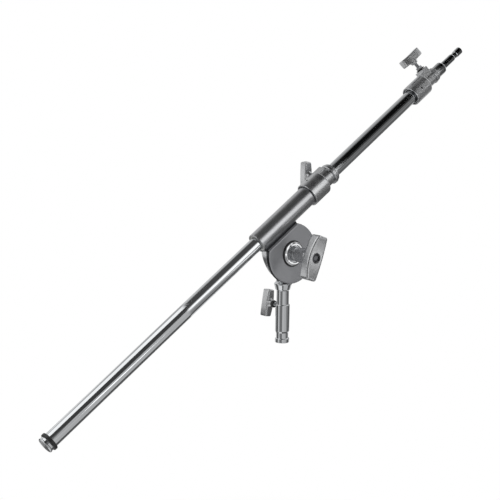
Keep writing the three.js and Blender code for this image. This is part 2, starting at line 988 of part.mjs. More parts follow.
// Screw from its tip to the bottom of the hole in its handle
function screwSolid(tip, face) {
  const top = face - smallHandle.hubReach + handleScrew.holdDepth - fits.contactGap;
  return turnedZ([
    [0, tip],
    [handleScrew.radius - handleScrew.tipBevel, tip],
    [handleScrew.radius, tip + handleScrew.tipBevel],
    [handleScrew.radius, top],
    [0, top],
  ], boltSides);
}

function nutSolid(acrossFlats, bore, from, to) {
  const hole = turnedZ(barProfile(bore, from - fits.cutOverrun, to + fits.cutOverrun), boltSides);
  return raised(hexagon(acrossFlats), from, to).subtract(hole);
}

function washerSolid(radius, bore, from, to) {
  return turnedZ(pipeProfile(bore, radius, from, to), smallSides);
}

// Group that carries a handle: its Z is the screw's axis and its X the direction of the bar
function handleGroup(barAngle) {
  const spin = new THREE.Group();
  spin.rotation.z = radians(barAngle);
  return spin;
}

// Handle, screw, washer and nut of a collar's clamp
function collarHandle(prefix, collar, gripRadius, barAngle) {
  const seat = collar.lugReach;
  const face = seat + collar.handleStandoff + smallHandle.hubReach;
  const tip = shoeTop(gripRadius) + fits.contactGap;
  const washerFrom = seat + jamNut.seatGap;
  const washerTo = washerFrom + jamWasher.height;
  const nutFrom = washerTo + fits.contactGap;
  const bore = handleScrew.radius + fits.contactGap;
  const spin = handleGroup(barAngle);
  spin.add(
    part(`${prefix}_handle`, smallHandleSolid(face), finishes.satinCasting),
    part(`${prefix}_handle_screw`, screwSolid(tip, face), finishes.zincSteel),
    part(
      `${prefix}_handle_washer`,
      washerSolid(jamWasher.radius, bore, washerFrom, washerTo),
      finishes.blackPlastic,
    ),
    part(
      `${prefix}_handle_nut`,
      nutSolid(jamNut.acrossFlats, bore, nutFrom, nutFrom + jamNut.height),
      finishes.zincSteel,
    ),
  );
  const onBoom = new THREE.Group();
  onBoom.position.x = clampPosition(collar);
  onBoom.rotation.x = -radians(collar.lugAngle);
  onBoom.add(spin);
  return onBoom;
}

// Handle, screw and nut that lock the spigot on a baby pin
function tieDownHandle() {
  const face = pin.radius + tieDown.handleStandoff + smallHandle.hubReach;
  const tip = pin.socketRadius + fits.joinOverlap;
  const nutTo = face - smallHandle.hubReach - fits.contactGap;
  const bore = handleScrew.radius + fits.contactGap;
  const spin = handleGroup(pose.tieDownHandleAngle);
  spin.add(
    part("tie_down_handle", smallHandleSolid(face), finishes.satinCasting),
    part("tie_down_screw", screwSolid(tip, face), finishes.zincSteel),
    part(
      "tie_down_nut",
      nutSolid(jamNut.acrossFlats, bore, nutTo - jamNut.height, nutTo),
      finishes.blackPlastic,
    ),
  );
  const level = new THREE.Group();
  level.rotation.y = Math.PI / 2;
  level.add(spin);
  const onPin = new THREE.Group();
  onPin.position.z = tieDown.height;
  onPin.rotation.z = radians(tieDown.direction);
  onPin.add(level);
  return onPin;
}

// Large handle of the pivot, with its lock nut and thrust washer
function pivotHandle() {
  const nutFrom = recessFloor + fits.contactGap;
  const bore = pivot.boltRadius + fits.contactGap;
  const spin = handleGroup(pose.pivotHandleAngle);
  spin.add(
    part("pivot_handle", largeHandleSolid(), finishes.satinCasting),
    part(
      "pivot_handle_nut",
      nutSolid(handleNut.acrossFlats, bore, nutFrom, nutFrom + handleNut.height),
      finishes.zincSteel,
    ),
  );
  const onPivot = new THREE.Group();
  onPivot.position.z = pivotHeight;
  onPivot.rotation.x = Math.PI / 2;
  onPivot.add(spin);
  return onPivot;
}

const clampedRadius = boomTube.radius;
const extendedRadius = extension.radius;

// Boom with its collars and extension, built along X about the sleeve's axis
const boomLine = new THREE.Group();
boomLine.position.set(0, sleeve.axisSetback, sleeve.axisHeight);
boomLine.add(
  part("sleeve_tube", sleeveSolid(), finishes.satinTube),
  part("sleeve_rear_bushing", rearBushing(), finishes.paleNylon),
  part("mid_collar", collarSolid(midCollar, sleeve.radius, clampedRadius), finishes.satinCasting),
  part("mid_collar_grub_screw", grubScrewSolid(midCollar, sleeve.radius), finishes.blackPlastic),
  part("mid_brake_shoe", brakeShoeSolid(midCollar, clampedRadius), finishes.brass),
  collarHandle("mid", midCollar, clampedRadius, pose.midHandleAngle),
  part("boom_tube", boomTubeSolid(), finishes.chromedSteel),
  part("boom_end_cap", endCapSolid(), finishes.chromedSteel),
  part("boom_bumper", bumperSolid(), finishes.blackRubber),
  part("front_collar", collarSolid(frontCollar, clampedRadius, extendedRadius), finishes.satinCasting),
  part("front_mouth_ring", mouthRingSolid(), finishes.blackPlastic),
  part("front_collar_grub_screw", grubScrewSolid(frontCollar, clampedRadius), finishes.blackPlastic),
  part("front_brake_shoe", brakeShoeSolid(frontCollar, extendedRadius), finishes.brass),
  collarHandle("front", frontCollar, extendedRadius, pose.frontHandleAngle),
  part("extension_tube", extensionTubeSolid(), finishes.chromedSteel),
  part("extension_glide", extensionGlide(), finishes.paleNylon),
  part("baby_pin", babyPinSolid(), finishes.chromedSteel),
);

// Tilting head about the pivot, X along the boom
const head = new THREE.Group();
head.position.z = pivotHeight;
head.rotation.y = -radians(pose.boomAngle);
head.add(
  part("head_casting", headCasting(), finishes.satinCasting),
  part("friction_disc", frictionDisc(), finishes.frictionFibre),
  part("boss_ring", bossRingSolid(), finishes.zincSteel),
  part("thrust_washer", thrustWasherSolid(), finishes.zincSteel),
  boomLine,
);

const boomArm = new THREE.Group();
boomArm.add(
  part("spigot_casting", spigotCasting(), finishes.chromedSteel),
  part("pivot_bolt", pivotBolt(), finishes.zincSteel),
  tieDownHandle(),
  pivotHandle(),
  head,
);

export default boomArm;
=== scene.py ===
# Overhead boom arm on its junior spigot: finished pieces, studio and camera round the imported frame

import math

import bmesh
import bpy
from mathutils import Matrix, Vector


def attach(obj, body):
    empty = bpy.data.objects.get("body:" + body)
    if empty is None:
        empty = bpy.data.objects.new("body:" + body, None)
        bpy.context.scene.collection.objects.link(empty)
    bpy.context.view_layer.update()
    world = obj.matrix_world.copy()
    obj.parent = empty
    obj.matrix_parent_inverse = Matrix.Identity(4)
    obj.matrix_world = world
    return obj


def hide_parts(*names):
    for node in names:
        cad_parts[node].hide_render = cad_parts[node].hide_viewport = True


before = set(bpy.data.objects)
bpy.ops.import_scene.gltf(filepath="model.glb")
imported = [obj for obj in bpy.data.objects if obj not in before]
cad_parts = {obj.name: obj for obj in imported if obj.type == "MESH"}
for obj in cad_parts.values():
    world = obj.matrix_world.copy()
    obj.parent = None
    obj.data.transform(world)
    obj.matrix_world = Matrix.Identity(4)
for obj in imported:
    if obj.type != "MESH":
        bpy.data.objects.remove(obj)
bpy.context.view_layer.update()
print("frame loaded:", len(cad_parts), "nodes")


# Frames, in millimetres from the foot of the spigot

setup = {
    "boomAngle": 33.9,  # degrees above level
    "pivotHeight": 184.6,
    "sleeveHeight": 62.4,  # sleeve axis above the pivot, square to the boom
    "sleeveSetback": -9.5,
    "midClamp": 158.5,  # clamp screws, along the boom from above the pivot
    "midLug": 84,  # turn of a lug about the boom, from straight up to the front
    "midBar": -61,  # turn of a handle's bar about its screw
    "frontClamp": 519.25,
    "frontLug": 27,
    "frontBar": 0,
    "tieDownHeight": 74.4,
    "tieDownHeading": 96.5,
    "tieDownBar": 10,
    "pivotBar": 70,
}
millimetre = 0.001
toMetres = Matrix.Scale(millimetre, 4)


def shift(x=0, y=0, z=0):
    return Matrix.Translation((x, y, z))


def spin(axis, degrees):
    return Matrix.Rotation(math.radians(degrees), 4, axis)


worldPlace = Matrix.Identity(4)
headPlace = shift(z=setup["pivotHeight"]) @ spin("Y", -setup["boomAngle"])
sleevePlace = shift(y=setup["sleeveSetback"], z=setup["sleeveHeight"])  # in the head's own frame
boomPlace = headPlace @ sleevePlace
alongBoom = boomPlace @ spin("Y", 90)  # Z runs up the boom
pivotPlace = shift(z=setup["pivotHeight"]) @ spin("X", 90)  # Z runs to the front
headPivotPlace = headPlace @ spin("X", 90)
tieDownPlace = (
    shift(z=setup["tieDownHeight"])
    @ spin("Z", setup["tieDownHeading"])
    @ spin("Y", 90)
    @ spin("Z", setup["tieDownBar"])
)


def clampPlace(along, lug, bar):
    # Z runs out of the lug with its screw, X along the handle's bar
    return boomPlace @ shift(x=along) @ spin("X", -lug) @ spin("Z", bar)


midClampPlace = clampPlace(setup["midClamp"], setup["midLug"], setup["midBar"])
frontClampPlace = clampPlace(setup["frontClamp"], setup["frontLug"], setup["frontBar"])


# Materials

def srgb(code):
    # hex colour to the linear values that the shader takes
    parts = [int(code[i : i + 2], 16) / 255 for i in (1, 3, 5)]
    linear = [part / 12.92 if part <= 0.04045 else ((part + 0.055) / 1.055) ** 2.4 for part in parts]
    return (*linear, 1)


def addNode(tree, kind, inputs=None, **settings):
    node = tree.nodes.new(kind)
    for name, value in settings.items():
        setattr(node, name, value)
    for socket, value in (inputs or {}).items():
        if isinstance(value, bpy.types.NodeSocket):
            tree.links.new(value, node.inputs[socket])
        else:
            node.inputs[socket].default_value = value
    return node


def mathOf(tree, operation, *values):
    return addNode(tree, "ShaderNodeMath", dict(enumerate(values)), operation=operation).outputs[0]


def noiseOf(tree, coords, form):
    # form: size of the features in millimetres, detail and roughness
    size, detail, roughness = form
    inputs = {"Vector": coords, "Scale": 1000 / size, "Detail": detail, "Roughness": roughness}
    return addNode(tree, "ShaderNodeTexNoise", inputs).outputs["Fac"]


def spreadOf(tree, value, span, result):
    # stretches the span over the result's, and stops at its ends
    inputs = {
        "Value": value,
        "From Min": span[0],
        "From Max": span[1],
        "To Min": result[0],
        "To Max": result[1],
    }
    return addNode(tree, "ShaderNodeMapRange", inputs).outputs["Result"]


def tintOf(tree, share, first, second):
    inputs = {"Factor": share, 6: srgb(first), 7: srgb(second)}
    return addNode(tree, "ShaderNodeMix", inputs, data_type="RGBA").outputs[2]


def bumpOf(tree, height, relief, below=None):
    # relief: strength, and metres of height
    inputs = {"Height": height, "Strength": relief[0], "Distance": relief[1]}
    if below is not None:
        inputs["Normal"] = below
    return addNode(tree, "ShaderNodeBump", inputs).outputs["Normal"]


def newMaterial(name):
    material = bpy.data.materials.new(name)
    material.use_nodes = True
    tree = material.node_tree
    tree.nodes.clear()
    return material, tree


def objectCoords(tree):
    return addNode(tree, "ShaderNodeTexCoord").outputs["Object"]


def boomCoords(tree):
    # object coordinates turned so that X runs along the boom
    inputs = {"Vector": objectCoords(tree), "Rotation": (0, math.radians(-setup["boomAngle"]), 0)}
    return addNode(tree, "ShaderNodeMapping", inputs, vector_type="TEXTURE").outputs["Vector"]


def drawnOut(tree, coords, slenderness):
    # coordinates that make a noise long and thin, by the width of its features over their length
    inputs = {"Vector": coords, "Scale": (slenderness, 1, 1)}
    return addNode(tree, "ShaderNodeMapping", inputs).outputs["Vector"]


def surface(tree, inputs):
    shader = addNode(tree, "ShaderNodeBsdfPrincipled", inputs)
    addNode(tree, "ShaderNodeOutputMaterial", {"Surface": shader.outputs["BSDF"]})


# noises are given by the size of their features in mm, their detail and their roughness
noiseSpan = (0.3, 0.7)  # what most of a noise's values lie in
chromeLook = {
    "light": "#dcdee0",
    "worn": "#cfd1d3",
    "roughness": (0.03, 0.09),  # polished, and where it is handled
    "smudges": (45, 5.0, 0.6),
    "smudgeSpan": (0.42, 0.72),
    "scratches": (0.35, 2.0, 0.5),  # wider than real so that they show
    "hairline": 0.06,  # how much duller a hairline scratch is
    "slenderness": 0.02,
}


def chromePlatedSteel():
    # Drawn tube and turned steel, polished and chrome-plated: mirror bands with faint smudges
    # and hairline scratches
    look = chromeLook
    material, tree = newMaterial("chrome plated steel")
    coords = boomCoords(tree)
    smudges = noiseOf(tree, coords, look["smudges"])
    hairlines = noiseOf(tree, drawnOut(tree, coords, look["slenderness"]), look["scratches"])
    handled = spreadOf(tree, smudges, look["smudgeSpan"], look["roughness"])
    gloss = mathOf(tree, "MULTIPLY_ADD", hairlines, look["hairline"], handled)
    tint = tintOf(tree, smudges, look["light"], look["worn"])
    surface(tree, {"Base Color": tint, "Metallic": 1.0, "Roughness": gloss})
    return material


castLook = {
    "light": "#cdcecf",
    "dark": "#c0c1c3",
    # painted shade: darker casting colours for the saddle and the plate's rim
    "shadeLight": "#4b4c4e",
    "shadeDark": "#393a3c",
    "roughness": (0.24, 0.32),
    "grain": (0.6, 3.0, 0.65),  # blasting grit, coarser than real so that it shows
    "grainRelief": (0.06, 0.00004),
    "flow": (14, 4.0, 0.55),  # slow waviness of the cast skin
    "flowRelief": (0.12, 0.0003),
    "flowSpan": (0.35, 0.65),
    "toneSpan": (0.15, 0.35),  # of grain times flow
}


def blastedCasting(name, light, dark):
    # Pressure-cast aluminium, blasted and clear-coated: a soft even sheen over a fine grain
    look = castLook
    material, tree = newMaterial(name)
    coords = objectCoords(tree)
    grain = noiseOf(tree, coords, look["grain"])
    flow = noiseOf(tree, coords, look["flow"])
    tone = spreadOf(tree, mathOf(tree, "MULTIPLY", grain, flow), look["toneSpan"], (0.0, 1.0))
    waves = bumpOf(tree, flow, look["flowRelief"])
    inputs = {
        "Base Color": tintOf(tree, tone, dark, light),
        "Metallic": 1.0,
        "Roughness": spreadOf(tree, flow, look["flowSpan"], look["roughness"]),
        "Normal": bumpOf(tree, grain, look["grainRelief"], waves),
    }
    surface(tree, inputs)
    return material


sleeveLook = {
    "light": "#c4c5c7",
    "dark": "#b0b1b3",
    "roughness": (0.25, 0.34),
    "streaks": (0.5, 4.0, 0.6),  # from one draw line to the next
    "slenderness": 0.012,
    "relief": (0.05, 0.00003),
}


def satinSleeveSteel():
    # Drawn steel tube with a satin nickel finish: darker than the castings, with lines along its length
    look = sleeveLook
    material, tree = newMaterial("satin plated tube")
    streaks = noiseOf(tree, drawnOut(tree, boomCoords(tree), look["slenderness"]), look["streaks"])
    inputs = {
        "Base Color": tintOf(tree, streaks, look["dark"], look["light"]),
        "Metallic": 1.0,
        "Roughness": spreadOf(tree, streaks, noiseSpan, look["roughness"]),
        "Normal": bumpOf(tree, streaks, look["relief"]),
    }
    surface(tree, inputs)
    return material


# small parts: detail and roughness of their grain, and its height in metres
grainOf = {"metal": (4.0, 0.6, 0.00005), "moulded": (5.0, 0.65, 0.0001)}


def grainyMaterial(name, light, dark, roughness, grain, strength, kind, inputs):
    # one noise drives colour, gloss and bump
    material, tree = newMaterial(name)
    detail, grainRoughness, height = grainOf[kind]
    noise = noiseOf(tree, objectCoords(tree), (grain, detail, grainRoughness))
    inputs["Base Color"] = tintOf(tree, noise, dark, light)
    inputs["Roughness"] = spreadOf(tree, noise, noiseSpan, roughness)
    inputs["Normal"] = bumpOf(tree, noise, (strength, height))
    surface(tree, inputs)
    return material


def fineMetal(name, light, dark, roughness, grain, strength):
    # Plated or turned small part: a fine grain over a metal's shine
    return grainyMaterial(name, light, dark, roughness, grain, strength, "metal", {"Metallic": 1.0})


def mouldedMatter(name, light, dark, roughness, grain, strength, ior, sheen=0.0, metallic=0.0):
    # Moulded, pressed or painted: slight mottling, with the grain of its mould or spray
    inputs = {"Metallic": metallic, "IOR": ior, "Sheen Weight": sheen}
    return grainyMaterial(name, light, dark, roughness, grain, strength, "moulded", inputs)


# fineMetal and mouldedMatter: light and dark colour, roughness, grain in mm, bump strength, then IOR
looks = {
    "chromed_steel": chromePlatedSteel(),
    "satin_casting": blastedCasting("blasted cast aluminium", castLook["light"], castLook["dark"]),
    # enamel with metal flakes, sprayed over the clamp plate: grey, half paint and half metal to the eye
    "grey_enamel": mouldedMatter(
        "grey enamel", "#a3a4a7", "#939497", (0.28, 0.36), 0.6, 0.1, 1.5, metallic=0.6
    ),
    # the casting darkened as painted shade, for the saddle under the sleeve and the plate's rim, over the
    # same uneven grain
    "shaded_casting": blastedCasting("shaded cast aluminium", castLook["shadeLight"], castLook["shadeDark"]),
    "satin_tube": satinSleeveSteel(),
    # bright zinc plate: a soft bluish white shine
    "zinc_steel": fineMetal("zinc plated steel", "#cfd1d4", "#b3b5b8", (0.18, 0.3), 1.2, 0.15),
    # turned and polished before it is plated: brighter than the other steel
    "turned_steel": fineMetal("turned steel", "#e8e9ea", "#d6d7d9", (0.1, 0.18), 1.0, 0.05),
    # zinc steel darkened as painted shade, for the nut and bolt down in the pivot handle's recess: a dull
    # middle grey
    "shaded_steel": fineMetal("recess shaded steel", "#85868a", "#66676a", (0.25, 0.4), 1.5, 0.15),
    # sintered and turned brass, dull where it is not rubbed
    "brass": fineMetal("turned brass", "#c2a05c", "#a5843f", (0.25, 0.4), 0.8, 0.2),
    # glass-filled nylon, moulded black: low sheen with a fine spark finish
    "black_plastic": mouldedMatter(
        "black moulded nylon", "#1d1e1f", "#121314", (0.38, 0.52), 0.4, 0.25, 1.53
    ),
    # moulded rubber, still smooth from its mould: a soft shine over a little dust
    "black_rubber": mouldedMatter("black rubber", "#1c1c1c", "#121212", (0.34, 0.5), 0.7, 0.12, 1.52, 0.05),
    # natural nylon, turned: off-white, waxy
    "pale_nylon": mouldedMatter("natural nylon", "#c9c9c7", "#b9b9b6", (0.4, 0.55), 2.5, 0.15, 1.53),
    # woven friction fibre pressed in resin: dull brown-black with pale fibre ends
    "friction_fibre": mouldedMatter("friction fibre", "#4a443d", "#2b2724", (0.75, 0.9), 0.6, 0.6, 1.5),
}
print("materials made:", len(looks))


def newObject(name, data):
    thing = bpy.data.objects.new(name, data)
    bpy.context.scene.collection.objects.link(thing)
    return thing


# Mesh tools, all in millimetres

crispAngle = math.radians(25)  # edges steeper than this stay crisp on cut and hexagon pieces
threadAngle = math.radians(38)  # on threads
socketAngle = math.radians(30)  # and on the small set screws
# rounds of edges that have none of their own
edgeRound = {"blank": 0.25, "solid": 0.25, "ring": 0.3}
# sides of each kind of round shape
sidesOf = {
    "screwHole": 32,
    "grubHole": 40,
    "hole": 48,
    "hub": 96,
    "turned": 128,
    "shaft": 144,
    "tube": 160,
    "plate": 192,
}
roundShare = 0.45  # most of a side that one round takes
nearlyStraight = 0.01
tiny = 0.000001
weldDistance = 0.0001


def roundedProfile(corners, roundSize, ringShaped, steps=4):
    # each corner is (radius, along) or (radius, along, its own round); returns points with their tangents
    count = len(corners)
    result = []
    for index, corner in enumerate(corners):
        here = Vector(corner[:2])
        size = corner[2] if len(corner) > 2 else roundSize
        if not ringShaped and index in (0, count - 1):
            other = Vector(corners[1 if index == 0 else count - 2][:2])
            tangent = (other - here) if index == 0 else (here - other)
            result.append((here, tangent.normalized()))
            continue
        before = Vector(corners[index - 1][:2]) - here
        after = Vector(corners[(index + 1) % count][:2]) - here
        opening = before.angle(after)
        reach = min(size / math.tan(opening / 2), before.length * roundShare, after.length * roundShare)
        before.normalize()
        after.normalize()
        for step in range(steps + 1):
            share = step / steps
            tangent = (-before).slerp(after, share) if opening < math.pi - nearlyStraight else after
            radius = reach * math.tan(opening / 2)
            centre = here + (before + after).normalized() * (reach / math.cos(opening / 2))
            out = Vector((tangent.y, -tangent.x))
            if out.dot(here - centre) < 0:
                out = -out
            result.append((centre + out * radius, tangent.normalized()))
    return result


def turnedMesh(name, corners, place, roundSize, sides):
    # turned about Z, its normals taken straight from the profile; a profile off the axis closes to a ring
    ringShaped = corners[0][0] > 0
    points = roundedProfile(corners, roundSize, ringShaped)
    mesh = bpy.data.meshes.new(name)
    verts, normals, rings, faces = [], [], [], []
    for point, tangent in points:
        onAxis = point.x < tiny
        ring = []
        for side in range(1 if onAxis else sides):
            angle = 2 * math.pi * side / sides
            direction = Vector((math.cos(angle), math.sin(angle), 0))
            ring.append(len(verts))
            verts.append(direction * point.x + Vector((0, 0, point.y)))
            flatNormal = Vector((0, 0, -tangent.x))
            normals.append(flatNormal if onAxis else direction * tangent.y + flatNormal)
        rings.append(ring)
    pairs = list(zip(rings, rings[1:])) + ([(rings[-1], rings[0])] if ringShaped else [])
    for low, high in pairs:
        for side in range(sides):
            after = (side + 1) % sides
            lower = [low[side % len(low)], low[after % len(low)]]
            upper = [high[after % len(high)], high[side % len(high)]]
            faces.append(list(dict.fromkeys(lower + upper)))  # three corners where a ring is one point
    mesh.from_pydata([vert[:] for vert in verts], [], faces)
    mesh.transform(toMetres @ place)
    mesh.shade_smooth()
    turn = place.to_3x3()
    mesh.normals_split_custom_set_from_vertices([(turn @ normal).normalized() for normal in normals])
    return mesh


def turnedBlank(corners, place=worldPlace, sides=sidesOf["turned"]):
    # the same, left in millimetres for carving
    mesh = turnedMesh("blank", corners, place, edgeRound["blank"], sides)
    mesh.transform(toMetres.inverted())
    return mesh


def boreMesh(radius, low, high, place=worldPlace, sides=sidesOf["hole"]):
    # what a drill takes out along Z
    return turnedBlank([(0, low), (radius, low), (radius, high), (0, high)], place, sides)


def loftMesh(name, rings):
    # skin over rings of equal count, with flat ends
    mesh = bpy.data.meshes.new(name)
    count = len(rings[0])
    verts = [point for ring in rings for point in ring]
    faces = [list(reversed(range(count)))]
    for level in range(len(rings) - 1):
        base = level * count
        for side in range(count):
            after = (side + 1) % count
            faces.append([base + side, base + after, base + count + after, base + count + side])
    faces.append([(len(rings) - 1) * count + side for side in range(count)])
    mesh.from_pydata(verts, [], faces)
    return mesh


def blockMesh(low, high, place=worldPlace):
    # box between two opposite corners
    rings = []
    for x in (low[0], high[0]):
        outline = ((low[1], low[2]), (high[1], low[2]), (high[1], high[2]), (low[1], high[2]))
        rings.append([(x, y, z) for y, z in outline])
    mesh = loftMesh("block", rings)
    mesh.transform(place)
    return mesh


def outwardFaces(mesh):
    shape = bmesh.new()
    shape.from_mesh(mesh)
    bmesh.ops.recalc_face_normals(shape, faces=shape.faces)
    shape.to_mesh(mesh)
    shape.free()
    return mesh


def evaluatedMesh(thing):
    bpy.context.view_layer.update()
    return bpy.data.meshes.new_from_object(thing.evaluated_get(bpy.context.evaluated_depsgraph_get()))


def finishedMesh(mesh, place, sharpAngle=None):
    mesh.transform(toMetres @ place)
    mesh.shade_smooth()
    if sharpAngle:
        mesh.set_sharp_from_angle(angle=sharpAngle)
    return mesh


def ringOf(points):
    # each point is (distance from the axis, along it), spread evenly round it
    ring = []
    for side, (distance, along) in enumerate(points):
        angle = 2 * math.pi * side / len(points)
        ring.append((distance * math.cos(angle), distance * math.sin(angle), along))
    return ring


def carvedMesh(name, base, steps, melt, place):
    # joins and cuts blanks, then melts their edges as a casting's fillets: by grain and rounds of smoothing
    target = newObject(name, outwardFaces(base))
    tools = []
    for kind, mesh in steps:
        tool = newObject("tool", outwardFaces(mesh))
        tools.append(tool)
        cut = target.modifiers.new(kind, "BOOLEAN")
        cut.operation = "UNION" if kind == "add" else "DIFFERENCE"
        cut.solver = "MANIFOLD"
        cut.object = tool
    mesh = evaluatedMesh(target)
    if melt:
        grain, smoothing = melt
        exact = newObject("exact", mesh)
        cast = newObject("cast", mesh.copy())
        tools += [exact, cast]
        remesh = cast.modifiers.new("melt", "REMESH")
        remesh.mode = "VOXEL"
        remesh.voxel_size = grain
        hold = cast.modifiers.new("hold", "SHRINKWRAP")  # keeps flats flat and turned faces round
        hold.target = exact
        soft = cast.modifiers.new("soften", "SMOOTH")
        soft.iterations = smoothing
        soft.factor = 0.5
        mesh = evaluatedMesh(cast)
    mesh.name = name
    for thing in [target] + tools:
        old = thing.data
        bpy.data.objects.remove(thing)
        bpy.data.meshes.remove(old)
    return finishedMesh(mesh, place, None if melt else crispAngle)


def hexRadius(flats, degrees):
    # how far out a hexagon's side is in this direction
    return flats / 2 / math.cos(math.radians(degrees % 60 - 30))


hexForm = {
    "rimShare": 0.95,  # round face at each end, as a share of the width across flats
    "coneAngle": 30,
    "boreBevel": 0.5,
    "sides": 72,
}


def hexMesh(name, flats, height, bore, place):
    # hexagon nut or head from Z 0 to its height, its corners cut back by a cone
    rim = flats / 2 * hexForm["rimShare"]
    slope = math.tan(math.radians(hexForm["coneAngle"]))
    bevel = hexForm["boreBevel"]
    sides = hexForm["sides"]
    rings = []

    def ring(radius, level):
        rings.append([(radius, level)] * sides)

    def edgeRing(upper):
        edge = []
        for side in range(sides):
            radius = hexRadius(flats, 360 * side / sides)
            drop = (radius - rim) * slope
            edge.append((radius, height - drop if upper else drop))
        rings.append(edge)

    if bore:
        ring(bore + bevel, 0)
    ring(rim, 0)
    edgeRing(False)
    edgeRing(True)
    ring(rim, height)
    if bore:
        ring(bore + bevel, height)
        ring(bore, height - bevel)
        ring(bore, bevel)
        rings.append(rings[0])
    mesh = loftMesh(name, [ringOf(level) for level in rings])
    shape = bmesh.new()
    shape.from_mesh(mesh)
    if bore:
        caps = [face for face in shape.faces if len(face.verts) > 4]
        bmesh.ops.delete(shape, geom=caps, context="FACES_ONLY")
        bmesh.ops.remove_doubles(shape, verts=shape.verts, dist=weldDistance)
    bmesh.ops.recalc_face_normals(shape, faces=shape.faces)
    shape.to_mesh(mesh)
    shape.free()
    return finishedMesh(mesh, place, crispAngle)


threadForm = {
    "depthShare": 0.45,  # of the pitch
    "bevel": 0.8,
    "levels": 6,  # in each turn of the thread
    "plainStep": 2,  # pitches from level to level outside it
    "sides": 40,
}


def screwMesh(name, radius, low, high, threadLow, threadHigh, pitch, place):
    # rod with a rolled thread over part of its length
    depth = pitch * threadForm["depthShare"]
    bevel, sides = threadForm["bevel"], threadForm["sides"]
    levels = []
    along = low
    while along < high:
        levels.append(along)
        inThread = threadLow - pitch <= along <= threadHigh + pitch
        along += pitch / threadForm["levels"] if inThread else pitch * threadForm["plainStep"]
    levels.append(high)
    rings = []
    for along in levels:
        ring = []
        for side in range(sides):
            turn = side / sides
            wave = abs(((along / pitch - turn) % 1) * 2 - 1)
            fade = min(1, max(0, (along - threadLow) / pitch), max(0, (threadHigh - along) / pitch))
            size = radius - depth * wave * fade
            size = min(size, radius - bevel + (along - low), radius - bevel + (high - along))
            ring.append((size, along))
        rings.append(ringOf(ring))
    return finishedMesh(outwardFaces(loftMesh(name, rings)), place, threadAngle)


def addPiece(name, mesh, look, body, *nodes, slot=None):
    # one visible piece, riding its body and standing for its nodes
    piece = newObject(name, mesh)
    mesh.materials.clear()
    mesh.materials.append(looks[look])
    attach(piece, body)
    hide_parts(*nodes)


def addTurned(name, corners, place, look, body, node, sides=sidesOf["turned"], slot=None):
    roundSize = edgeRound["ring" if corners[0][0] > 0 else "solid"]
    addPiece(name, turnedMesh(name, corners, place, roundSize, sides), look, body, node, slot=slot)


# plain rings, with the rounds of their four edges from the bore's rear edge outward and back in
plainRings = {
    "frictionDisc": {"bore": 5.3, "rim": 38, "ends": (17.7, 20.2)},
    # a thin black ring round the boss ring's foot: painted shade, for its contact shadow on the plate
    "ringShadeBand": {"bore": 24.05, "rim": 26.4, "ends": (29.2, 30.2), "rounds": (0.3, 0.3, 0.5, 0.2)},
    "thrustWasher": {"bore": 5.35, "rim": 16.4, "ends": (33.7, 36.1), "rounds": (0.3, 0.3, 0.8, 0.3)},
    "sleeveTube": {"bore": 17.9, "rim": 20.5, "ends": (-50, 141.2), "rounds": (0.5, 0.9, 0.3, 0.3)},
    "rearBushing": {"bore": 14.65, "rim": 17.6, "ends": (-48.4, -18.4), "rounds": (0.8, 0.3, 0.3, 0.3)},
    "boomTube": {"bore": 12.8, "rim": 14.3, "ends": (-601, 494.2), "rounds": (0.3, 0.5, 0.5, 0.3)},
    "bumper": {"bore": 14.6, "rim": 17.8, "ends": (-600.7, -594.1), "rounds": (0.4, 2.9, 2.9, 0.4)},
    "extensionTube": {"bore": 10.2, "rim": 12, "ends": (-90, 538)},
    "mouthRing": {"bore": 14.6, "rim": 18.7, "ends": (456.3, 458.4), "rounds": (0.5, 0.4, 0.3, 0.3)},
    "mouthClip": {"bore": 16.1, "rim": 17.5, "ends": (455.4, 456.5), "rounds": (0.3, 0.3, 0.1, 0.1)},
    "midWasher": {"bore": 4.3, "rim": 9.8, "ends": (26.8, 29.0), "rounds": (0.3, 0.5, 0.5, 0.3)},
    "frontWasher": {"bore": 4.3, "rim": 9.8, "ends": (27.3, 29.5), "rounds": (0.3, 0.5, 0.5, 0.3)},
}


def addRing(name, place, look, body, node, sides=sidesOf["turned"], slot=None):
    size = plainRings[name]
    bore, rim, (rear, front) = size["bore"], size["rim"], size["ends"]
    rounds = size.get("rounds", [edgeRound["ring"]] * 4)
    corners = list(zip((bore, rim, rim, bore), (rear, rear, front, front), rounds))
    addTurned(name, corners, place, look, body, node, sides, slot)


# Spigot: turned shaft, with the pivot disc cast on top of its stem

spigot = {
    "radius": 14.3,
    "tip": 8,
    "grooveRadius": 12.4,
    "grooveRun": 0.9,  # how far the groove's lower side slopes
    "grooveTop": 20,
    "plainBottom": 23.5,
    "shoulder": 77.5,
    "neckRadius": 12.3,
    "neckTop": 106.5,
    "flareLow": (14.8, 108.5),  # radius and height
    "flareTop": (17.7, 119),
    "lipTop": 121,
    "stemRadius": 14,
    "stemLow": 125,
    "plug": (12.5, 125.4, 130),  # runs up into the stem
    "socket": (8.1, 92),  # radius and depth
    "screwHole": (4.3, 20),
}
# the stem starts a hair below the shaft's end and swells where it meets the disc
spigotTop = {
    "stemFoot": 124.9,
    "stemStraight": 140,
    "swell": (17, 148),
    "swellTop": 158,
    "stemEnd": 166,
    "discRadius": 39.5,
    "discBack": -5.6,
    "discFront": 17.4,
    "boltHole": (5.3, -20, 40),
    "melt": (0.8, 5),
}


